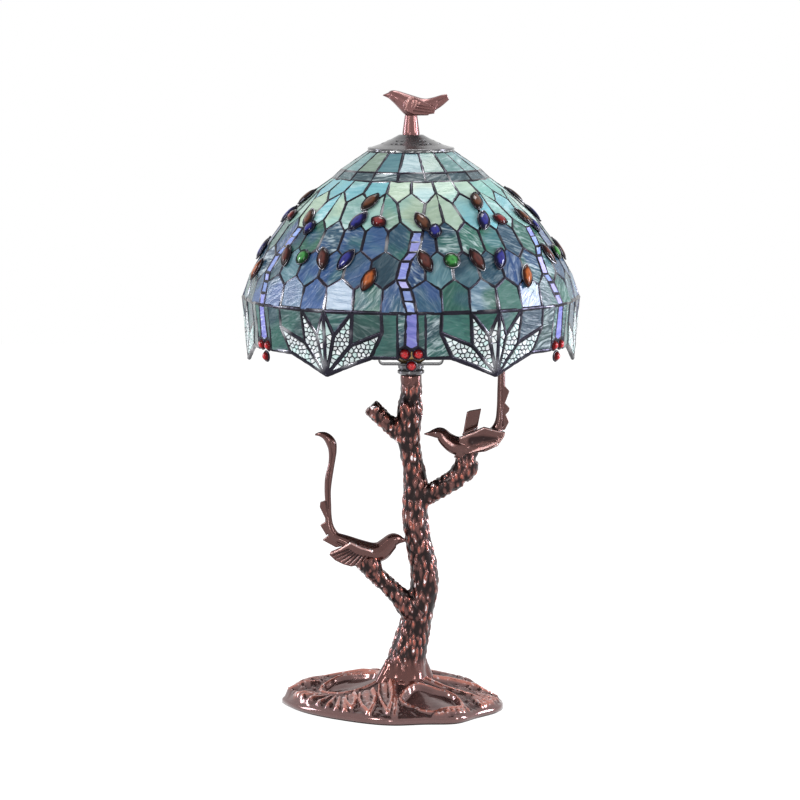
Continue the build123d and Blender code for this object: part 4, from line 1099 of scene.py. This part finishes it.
def bark_height(w, place):
    """Long upright lumps of bark, about 4 mm wide and 12 mm tall, with deep furrows between them."""
    warp = w.add("ShaderNodeTexNoise", Vector=place, Scale=70.0, Detail=2.0).outputs["Color"]
    drift = w.put("ShaderNodeVectorMath", {"operation": "MULTIPLY_ADD"}, warp, BARK_WARP, place)
    lumps = w.add("ShaderNodeTexVoronoi", {"feature": "SMOOTH_F1"}, Vector=w.stretched(drift, (1.0, 1.0, 0.4)),
                  Scale=270.0, Smoothness=0.2)
    rounded = w.ramp(lumps.outputs["Distance"], 0.12, 0.66, 1.0, 0.0)
    furrows = w.noise(w.stretched(place, (1.0, 1.0, 0.3)), 330.0, 3.0)
    return w.plus(w.times(rounded, LUMP_SHARE), w.times(furrows, FURROW_SHARE))


def bark_tree(material):
    """Moves a skin along its normals by the height of its bark, and keeps the height as relief."""
    tree, w, given, result = tree_of("GeometryNodeTree", "bark", {"Geometry": "Geometry", **BARK_SIZES},
                                     {"Geometry": "Geometry"})
    low, high, fade = (given[label] for label in ("Low", "High", "Fade"))
    place = w.out("GeometryNodeInputPosition")
    level = w.add("ShaderNodeSeparateXYZ", Vector=place).outputs["Z"]
    rising = w.ramp(level, low, w.plus(low, fade))
    falling = w.ramp(level, w.minus(high, fade), high, 1.0, 0.0)
    shown = w.times(w.math("MINIMUM", rising, falling), w.minus(bark_height(w, place), 0.5))
    offset = w.out("ShaderNodeVectorMath", {"operation": "SCALE"}, Vector=w.out("GeometryNodeInputNormal"),
                   Scale=w.times(shown, given["Depth"]))
    moved = w.out("GeometryNodeSetPosition", Geometry=given["Geometry"], Offset=offset)
    kept = w.out("GeometryNodeStoreNamedAttribute", {"data_type": "FLOAT", "domain": "POINT"}, Geometry=moved,
                 Name="relief", Value=shown)
    w.set(result, Geometry=w.out("GeometryNodeSetMaterial", Geometry=kept, Material=material))
    return tree


# Roots that spread from the trunk's foot over the mound: x, y, z, radius in millimetres
TRUNK_ROOTS = (
    ((-5.0, 0, 46, 16), (-5.5, 0, 36, 19.0), (-6, -1, 28, 20.5), (-6, -2, 20, 20.5)),
    ((-13, -3, 50, 7), (-18, -5, 40, 8), (-23, -7, 31, 8), (-28, -9, 23, 7)),
    ((4, 3, 46, 10), (8, 5, 36, 10), (12, 7, 28, 9), (15, 9, 21, 8)),
)
# The straight neck under the collar
TRUNK_NECK = (((-1.5, 0, 262, 10.4), (-0.8, 0, 278, 10.0), (0.4, 0, 295, 10.0), (0, 0, 311.5, 10.0)),)
# The left branch, from the trunk up into the bird's breast
LEFT_BRANCH = (((8, -3, 88, 12), (-2, -4, 97, 12), (-10, -6, 106, 9.6), (-21, -7.5, 117, 8.2), (-31, -8, 126.5, 8.4),
                (-36.5, -8, 135, 10.5), (-39, -8, 144, 10.5)),)
# Knuckles on the right branch, the fillet at its root, and the stub beside the left bird
BRANCH_KNUCKLES = (
    ((46, -6, 219, 8.5), (52, -6, 226, 9.5), (55, -6, 234, 8.5)),
    ((38, -6, 211, 7.0), (43, -6, 216, 8.0)),
    ((8, -1, 194, 8.0), (18, -3, 202, 7.6), (30, -5, 210, 7.2)),
    ((-54.5, -8, 138.5, 3.0), (-50, -8, 139.5, 5.5), (-42, -8, 137, 8.5)),
)
TREE_VOXEL, TREE_PASSES = 0.82 * MM, 7
BARK_DEPTH = 1.2 * MM
BARK_START, BARK_END = 4 * MM, 2 * MM  # over the trunk's own foot and top


def make_tree():
    extras = [limb(stations) for stations in TRUNK_ROOTS + TRUNK_NECK + LEFT_BRANCH + BRANCH_KNUCKLES]
    piece = fused("tree_casting", ("trunk", "right_branch"), TREE_VOXEL, extras, TREE_PASSES)
    low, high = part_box("trunk")
    grown_by(piece, bark_tree(BRONZE), Depth=BARK_DEPTH, Low=low.z + BARK_START, High=high.z + BARK_END)
    finished(smooth(piece), "stand", "cast_bronze", BRONZE, "trunk", "left_branch", "right_branch")


# ---- Cast bronze: the foot ----

FOOT_MIDDLE = np.array((-10.0, 0.0))
# The mound's height over the share of the way out to the rim
FOOT_PROFILE = ((0.0, 34.0), (0.16, 32.0), (0.30, 26.5), (0.46, 21.0), (0.7, 15.5), (0.88, 11.0), (0.96, 8.2),
                (0.985, 6.8))
FOOT_EDGE = ((0.994, 6.0), (1.0, 4.6), (1.0, 1.5), (0.97, 1.5), (0.0, 1.5))
FOOT_EDGE_RELIEF = -0.02
FOOT_LEAST_SHARE = 0.02  # to which the underside closes
FOOT_BACK_LIFT = 8.0  # of the mound behind the trunk
FOOT_END_LIFT = 4.5  # of its left end
# Ponds: middle x, y, half sizes, depth under the mound, ripples
FOOT_PONDS = ((-55.0, 1.0, 27.0, 18.5, 3.0, 0.0), (19.0, -40.0, 27.0, 21.0, 3.4, 0.03))
# Roots and ribs over the foot: width, height, then places in plan, all in millimetres
FOOT_RIDGES = (
    (5.0, 3.8, (-16, -12), (-17, -30), (-14, -48), (-15, -70)),
    (4.6, 3.6, (12, -6), (34, -12), (56, -16), (74, -24)),
    (5.0, 4.4, (10, 6), (36, 12), (62, 12), (80, 4)),
    (4.4, 3.4, (4, 14), (26, 30), (44, 44)),
    (4.6, 3.6, (-10, 16), (-16, 38), (-24, 60)),
    (5.2, 4.4, (-18, 10), (-48, 26), (-80, 30), (-106, 18)),
    (3.4, 2.6, (-30, 26), (-56, 48), (-80, 52)),
    (3.4, 2.6, (20, 24), (50, 36), (62, 40)),
)
# Leaves: foot, tip, width
FOOT_LEAVES = (
    ((-56, -26), (-54, -50), 9.5),
    ((-41, -25), (-38, -64), 15.0),
    ((-24, -18), (-21, -66), 13.0),
)
LEAF_EDGE, LEAF_RISE = (3.2, 3.6), 1.2  # width and height of a leaf's edge, and how far it is raised again
LEAF_VEIN, VEIN_SHARE = (2.2, 0.6), 0.34  # height and power of its vein, and the vein's width over the leaf's
# Fans of fine ribs: foot of the first rib, tip of the first, foot of the last, tip of the last, count
FOOT_FANS = (
    ((-84, -10), (-108, -4), (-62, -28), (-60, -52), 7),
    ((28, -60), (22, -68), (50, -46), (54, -52), 7),
    ((56, -22), (66, -36), (62, -4), (80, -10), 6),
    ((-86, 14), (-112, 14), (-74, 36), (-90, 46), 6),
    ((-44, 44), (-50, 66), (-6, 48), (-4, 67), 6),
    ((14, 44), (20, 62), (52, 24), (72, 30), 6),
)
FAN_RIB = (3.7, 3.4)
FOOT_SPOKES, FOOT_STEPS = 300, 88
FOOT_LEVEL, FOOT_REACH = 3 * MM, 0.3  # the height of the rays that find the rim, and how far out they start
FOOT_TOP = 0.985  # share of the way out at which the relief ends
FOOT_EASE = 0.9  # power of the steps between rings, which are closer near the rim


def leaf_outline(foot, tip, width):
    """A pointed leaf as a path round its edge."""
    foot, tip = np.array(foot, float), np.array(tip, float)
    along = tip - foot
    side = np.array((-along[1], along[0])) / np.linalg.norm(along)
    edge = ((0, 0.8), (0.3, 1.0), (0.62, 0.72), (1, 0))
    return [foot + along * share + side * width / 2 * spread for share, spread in edge] + [
        foot + along * share - side * width / 2 * spread for share, spread in edge[-2::-1]]


def foot_relief(plan, share):
    """Height that the cast leaves, roots, ribs and ponds add to the mound, and how bright they are rubbed."""
    ridges = [ridge(plan, path, width, rise) for width, rise, *path in FOOT_RIDGES]
    for foot, tip, width in FOOT_LEAVES:
        ridges.append(ridge(plan, leaf_outline(foot, tip, width), *LEAF_EDGE) * LEAF_RISE)
        ridges.append(ridge(plan, [foot, tip], width * VEIN_SHARE, *LEAF_VEIN))
    for first_foot, first_tip, last_foot, last_tip, count in FOOT_FANS:
        for index in range(count):
            part = index / (count - 1)
            foot = np.array(first_foot) * (1 - part) + np.array(last_foot) * part
            tip = np.array(first_tip) * (1 - part) + np.array(last_tip) * part
            ridges.append(ridge(plan, [tip, foot], *FAN_RIB))
    height = np.max(ridges, axis=0)
    lumps = np.sin(plan[:, 0] * 0.52 + 1.3 * np.sin(plan[:, 1] * 0.31)) * np.sin(plan[:, 1] * 0.61 + plan[:, 0] * 0.12)
    ends = smoothstep(np.abs(plan[:, 0] + 18), 58, 84)
    height = height + lumps * (0.6 + 1.4 * ends) * smoothstep(share, 0.35, 0.6) * (height < 1.6)
    relief = np.clip(height / 3.6, 0, 1) * 0.75 - 0.22
    for x, y, half_x, half_y, depth, ripple in FOOT_PONDS:
        offset = (plan - (x, y)) / (half_x, half_y)
        gap = np.linalg.norm(offset, axis=1) + 0.035 * np.sin(5 * np.arctan2(offset[:, 1], offset[:, 0]) + x)
        inside = 1 - smoothstep(gap, 0.88, 0.97)
        bank = np.exp(-((gap - 1.04) / 0.075) ** 2)
        ripples = ripple * np.sin(gap * 26)
        height = height * (1 - inside) * (1 - 0.6 * bank) + (ripples - depth) * inside + bank * 2.4
        relief = relief * (1 - np.maximum(inside, bank)) + bank * 0.48 - inside * (0.10 + 1.2 * ripple)
    calm = 1 - smoothstep(share, 0.945, 0.985)
    back = smoothstep(plan[:, 1], 0, 28) * smoothstep(share, 0.2, 0.5) * (1 - smoothstep(share, 0.75, 0.95))
    end = smoothstep(-plan[:, 0], 76, 104)
    height = height + FOOT_END_LIFT * end
    return height * calm + FOOT_BACK_LIFT * back, relief * calm


def make_foot():
    """The foot as rings from the trunk out to its rim, with its relief cast into the top."""
    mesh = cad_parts["foot"].data
    tree = BVHTree.FromPolygons([tuple(v.co) for v in mesh.vertices], [tuple(p.vertices) for p in mesh.polygons])
    middle = Vector((*FOOT_MIDDLE * MM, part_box("foot")[0].z + FOOT_LEVEL))
    rim = []
    for angle in turns(FOOT_SPOKES):
        way = Vector((math.cos(angle), math.sin(angle), 0))
        hit = tree.ray_cast(middle + way * FOOT_REACH, -way)[0]
        rim.append((hit.x * METRE, hit.y * METRE))
    rim = np.array(rim)
    rows = []
    for step in range(1, FOOT_STEPS + 1):
        share = FOOT_TOP * (step / FOOT_STEPS) ** FOOT_EASE
        plan = FOOT_MIDDLE + (rim - FOOT_MIDDLE) * share
        added, relief = foot_relief(plan, np.full(FOOT_SPOKES, share))
        rows.append((plan, np.interp(share, *zip(*FOOT_PROFILE)) + added, relief))
    for share, height in FOOT_EDGE:
        plan = FOOT_MIDDLE + (rim - FOOT_MIDDLE) * max(share, FOOT_LEAST_SHARE)
        rows.append((plan, np.full(FOOT_SPOKES, height), np.full(FOOT_SPOKES, FOOT_EDGE_RELIEF)))
    vertices = [(x * MM, y * MM, z * MM) for plan, heights, _ in rows for (x, y), z in zip(plan, heights)]
    count = len(vertices)
    ends = [tuple(range(FOOT_SPOKES)), tuple(range(count - 1, count - FOOT_SPOKES - 1, -1))]
    piece = object_from("foot_casting", vertices, (), ring_faces(len(rows), FOOT_SPOKES) + ends)
    float_attribute(piece.data, "relief", np.concatenate([row[2] for row in rows]))
    finished(smooth(piece), "stand", "cast_bronze", FOOT_BRONZE, "foot")


# ---- Cast bronze: the birds ----

BIRD_VOXEL, BIRD_PASSES = 0.42 * MM, 4
FLANKS = (0.15, 0.55)  # of a normal's Y, over which the feathers come in
FEATHER_RELIEF = 0.55  # to a millimetre of height


def carved(piece, lines):
    """Feathers and eyes on both sides of a bird: raised or sunk lines in its upright plane."""
    spots, ways = mesh_arrays(piece.data)
    plan = (spots * METRE)[:, [0, 2]]
    height = np.zeros(len(plan))
    for width, rise, *path in lines:
        line = ridge(plan, path, width, abs(rise))
        height = np.where(line > np.abs(height), math.copysign(1, rise) * line, height)
    height = height * smoothstep(np.abs(ways[:, 1]), *FLANKS)
    moved = spots + ways * (height * MM)[:, None]
    piece.data.vertices.foreach_set("co", moved.astype(np.float32).ravel())
    piece.data.update()
    float_attribute(piece.data, "relief", np.clip(height * FEATHER_RELIEF, -0.5, 0.5))
    return smooth(piece)


LEFT_BIRD = (
    upright(-8, (
        (-70, 163, 4.4), (-60, 158.5, 6.2), (-48, 153, 7.8), (-36, 148.6, 9.2), (-28, 149.4, 9.4),
        (-21.8, 154.8, 8.2), (-16.6, 159.6, 7.0), (-12, 160.4, 5.1), (-8.4, 159.9, 3.0), (-5.4, 159.4, 1.5),
        (-3.8, 159.2, 0.6))),
    upright(-8, (
        (-58, 158, 5.5), (-69, 162.5, 5.0), (-74.4, 171, 4.2), (-75.8, 181, 3.3), (-76.0, 193, 3.0),
        (-76.4, 206, 3.2), (-75.4, 218, 3.6), (-72.8, 231, 3.1), (-71.8, 242, 3.9), (-73, 250, 4.8),
        (-77.5, 256, 3.9), (-83, 258.2, 2.4), (-88, 257.8, 0.8))),
    upright(-8, ((-40, 146, 8), (-46, 141, 7), (-50, 137, 5.5))),
    plate(-17.5, (
        (-33, -14.5, 151), (-44, -16.5, 153.5), (-54.8, 160.4), (-64, 154.6), (-73.5, 150.6), (-75.0, 147.6),
        (-69.5, 142.3), (-62.5, 138.8), (-55, 136.6), (-47, -16.5, 138.0), (-40, -15, 141), (-33, -14, 145)), 3.4),
    plate(-10.6, ((-75, 198.0), (-83.3, 195.4), (-83.8, 190.9), (-78.6, 180)), 5.0),
    plate(-11, ((-74, 180), (-83.4, 174), (-77.5, 164)), 6.0),
    plate(-11, ((-72, 167), (-81.4, 160.2), (-69, 153.3), (-60, 155)), 6.0),
)
LEFT_FEATHERS = (
    (1.5, 0.8, (-36, 151), (-46, 154), (-55, 158.6), (-64, 153.2), (-73.5, 148.6)),
    (1.35, -0.9, (-57, 152.5), (-71.5, 147.2)),
    (1.35, -0.9, (-55, 151), (-69, 144.4)),
    (1.35, -0.9, (-53, 149.5), (-65, 141.6)),
    (1.35, -0.9, (-51, 148), (-61, 139.8)),
    (1.35, -0.9, (-48.5, 147), (-56.5, 138.6)),
    (1.35, -0.9, (-45.5, 146), (-51.5, 138.2)),
    (1.3, -0.6, (-42, 145.5), (-46, 139.5)),
    (1.1, 0.5, (-14.6, 161.4), (-14.4, 161.4)),
    (1.0, -0.45, (-10.4, 159.6), (-4.6, 159.0)),
    (1.3, -0.6, (-78, 196), (-76, 182)),
    (1.2, -0.6, (-75.5, 190), (-75.8, 214), (-72, 240), (-74, 252)),
)
RIGHT_BIRD = (
    upright(-6, (
        (12.0, 258.2, 0.6), (17.2, 258.4, 2.3), (21.6, 258.9, 4.3), (27.3, 258.6, 6.0), (33, 252.8, 7.4),
        (41, 247.6, 8.8), (50, 247.0, 9.0), (60, 248.8, 8.2), (69, 253, 7.2), (77, 260, 5.8), (81.4, 269, 4.8),
        (82.4, 281, 4.1), (82.6, 297, 3.8), (82.8, 316, 3.5), (82, 337, 3.1), (80.5, 354, 1.8))),
    upright(-6, ((44, 243, 8), (50, 238, 7.5), (54, 234, 7))),
    plate(-17.8, (
        (43.5, -14, 255.4), (57.5, -16, 261.6), (66.5, 266.5), (86.0, 261.6), (85.3, 257.7), (79.5, 248.6),
        (68.1, 243.4), (49.3, -14.5, 240.6)), 2.6),
    plate(2.6, ((47.7, 256.0), (51.4, 277.2), (54.2, 278.6), (64.8, 280.5), (61.2, 262.0), (56, 250)), 2.6),
    plate(-8.8, ((82, 307), (85.3, 303.5), (90.2, 298), (86.4, 287.5), (82, 284)), 5.0),
    plate(-9.2, ((83, 288), (86.6, 286.5), (90.4, 282.5), (89.8, 279.6), (83, 272)), 5.6),
    plate(-9.2, ((83, 277), (87.4, 275.5), (89.8, 269.5), (86.2, 262.4), (80, 261)), 5.6),
)
RIGHT_FEATHERS = (
    (1.5, 0.9, (45.5, 255.8), (57.5, 260.6), (66.5, 265.3), (85.2, 260.6)),
    (1.2, 0.6, (85.2, 260.6), (84, 256.5), (78.8, 249.4), (68, 244.9)),
    (5.0, -1.0, (56, 253), (66, 255), (77, 255)),
    (1.0, -0.3, (52, 248), (66, 248.5), (78, 253)),
    (1.0, -0.3, (54, 256), (66, 259), (82, 257)),
    (1.1, 0.55, (22.6, 260.2), (22.9, 260.2)),
    (1.1, -0.4, (16.5, 258.3), (20.5, 257.2)),
    (1.2, -0.6, (84.5, 266), (84, 280), (83.5, 300)),
)
FINIAL_WING = ((-4, 564), (2, 566.2), (8, 563.2), (14, 560.2), (22.4, 556.4), (21, 551), (12, 549.8), (3, 550.2),
               (-4, 553), (-6, 559))
FINIAL_BIRD = (
    upright(0, (
        (-25.6, 567.3, 0.4), (-23.0, 567.3, 1.5), (-20.1, 567.2, 2.8), (-17.2, 567.0, 4.2), (-13.2, 566.2, 5.4),
        (-7.5, 562.9, 7.0), (0, 559.2, 8.2), (8, 557.8, 7.4), (15, 558.8, 5.8), (22, 561.8, 4.2), (28, 564.9, 2.9),
        (33, 566.9, 1.7))),
    plate(-8.8, FINIAL_WING, 3.0),
    plate(5.8, FINIAL_WING, 3.0),
)
FINIAL_FEATHERS = (
    (1.1, 0.7, (1.4, 565.6), (-2.1, 563), (-3.8, 558.8), (-5.4, 553.4)),
    (1.0, 0.6, (2.6, 562.6), (0.8, 557.2)),
    (1.0, 0.6, (5.2, 562.2), (3.6, 556.4)),
    (1.0, 0.6, (7.8, 561.0), (6.2, 556.8)),
    (0.9, -0.6, (6, 558.4), (19.5, 556.2)),
    (0.9, -0.6, (4, 556.0), (21, 553.6)),
    (0.9, -0.6, (2, 553.4), (20, 551.4)),
    (0.9, -0.5, (24, 562.0), (32, 566.0)),
    (1.0, 0.55, (-16.9, 567.5), (-16.6, 567.5)),
    (0.8, -0.4, (-24, 566.9), (-19, 565.9)),
)
BIRDS = (  # name, body, the frame's forms in it, added forms, lines, material
    ("left_bird", "stand", (), LEFT_BIRD, LEFT_FEATHERS, BIRD_BRONZE),
    ("right_bird", "stand", (), RIGHT_BIRD, RIGHT_FEATHERS, BIRD_BRONZE),
    ("finial_bird", "finial", ("finial_bird",), FINIAL_BIRD, FINIAL_FEATHERS, COPPER),
)


def make_birds():
    for name, body, nodes, extras, lines, material in BIRDS:
        piece = fused(name + "_casting", nodes, BIRD_VOXEL, extras, BIRD_PASSES)
        finished(carved(piece, lines), body, "copper_bronze", material, name)


# ---- Solder ring under the cap ----

CAP_RING_INSET = 1.2 * MM
CAP_RING_BEAD = 1.15 * MM
CAP_RING_WAVER = (0.7, 1.35)
CAP_RING_RELIEF = (-0.4, -0.1, 0.3, 0.45)
CAP_RING_STEPS, CAP_RING_SIDES = 110, 7


def make_cap_ring():
    """The lumpy ring of solder that joins the crown panes to the cap."""
    chance = random.Random(SEED)
    low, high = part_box("vented_cap")
    radius = high.x - CAP_RING_INSET
    vertices = []
    for turn in turns(CAP_RING_STEPS):
        size = CAP_RING_BEAD * chance.uniform(*CAP_RING_WAVER)
        for angle in turns(CAP_RING_SIDES):
            out = radius + math.cos(angle) * size
            vertices.append((out * math.cos(turn), out * math.sin(turn), low.z + math.sin(angle) * size))
    ring = object_from("cap_solder", vertices, (), ring_faces(CAP_RING_STEPS, CAP_RING_SIDES, closed=True))
    float_attribute(ring.data, "relief", [chance.choice(CAP_RING_RELIEF) for _ in vertices])
    finished(smooth(ring), "shade", "lead", BRIGHT_SOLDER)


# ---- Finishes of the pieces whose shape is already right ----

NODE_FINISHES = (
    (PEWTER, "neck_collar", "harp_saddle", "harp_loop", "harp_ferrules", "vented_cap"),
    (COPPER, "finial_stem"),
    (STEEL, "tie_plate", "base_screws", "branch_dowels", "neck_nipple", "nipple_nut", "bulb_base"),
    (BRASS, "harp_stud", "seat_washer", "socket_cup", "socket_shell", "socket_thread", "socket_contact",
     "bulb_contact", "finial_insert"),
    (BLACK_PLASTIC, "cord_grommet", "socket_core", "switch_key", "bulb_insulator"),
    (FIBRE, "socket_sleeve"),
    (FELT, "felt_pad"),
    (FROSTED, "bulb_envelope"),
)


def finish_nodes():
    for material, *nodes in NODE_FINISHES:
        for node in nodes:
            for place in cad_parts[node].material_slots:
                place.link = "OBJECT"
                place.material = material


make_tree()
make_foot()
make_birds()
make_cap_ring()
finish_nodes()
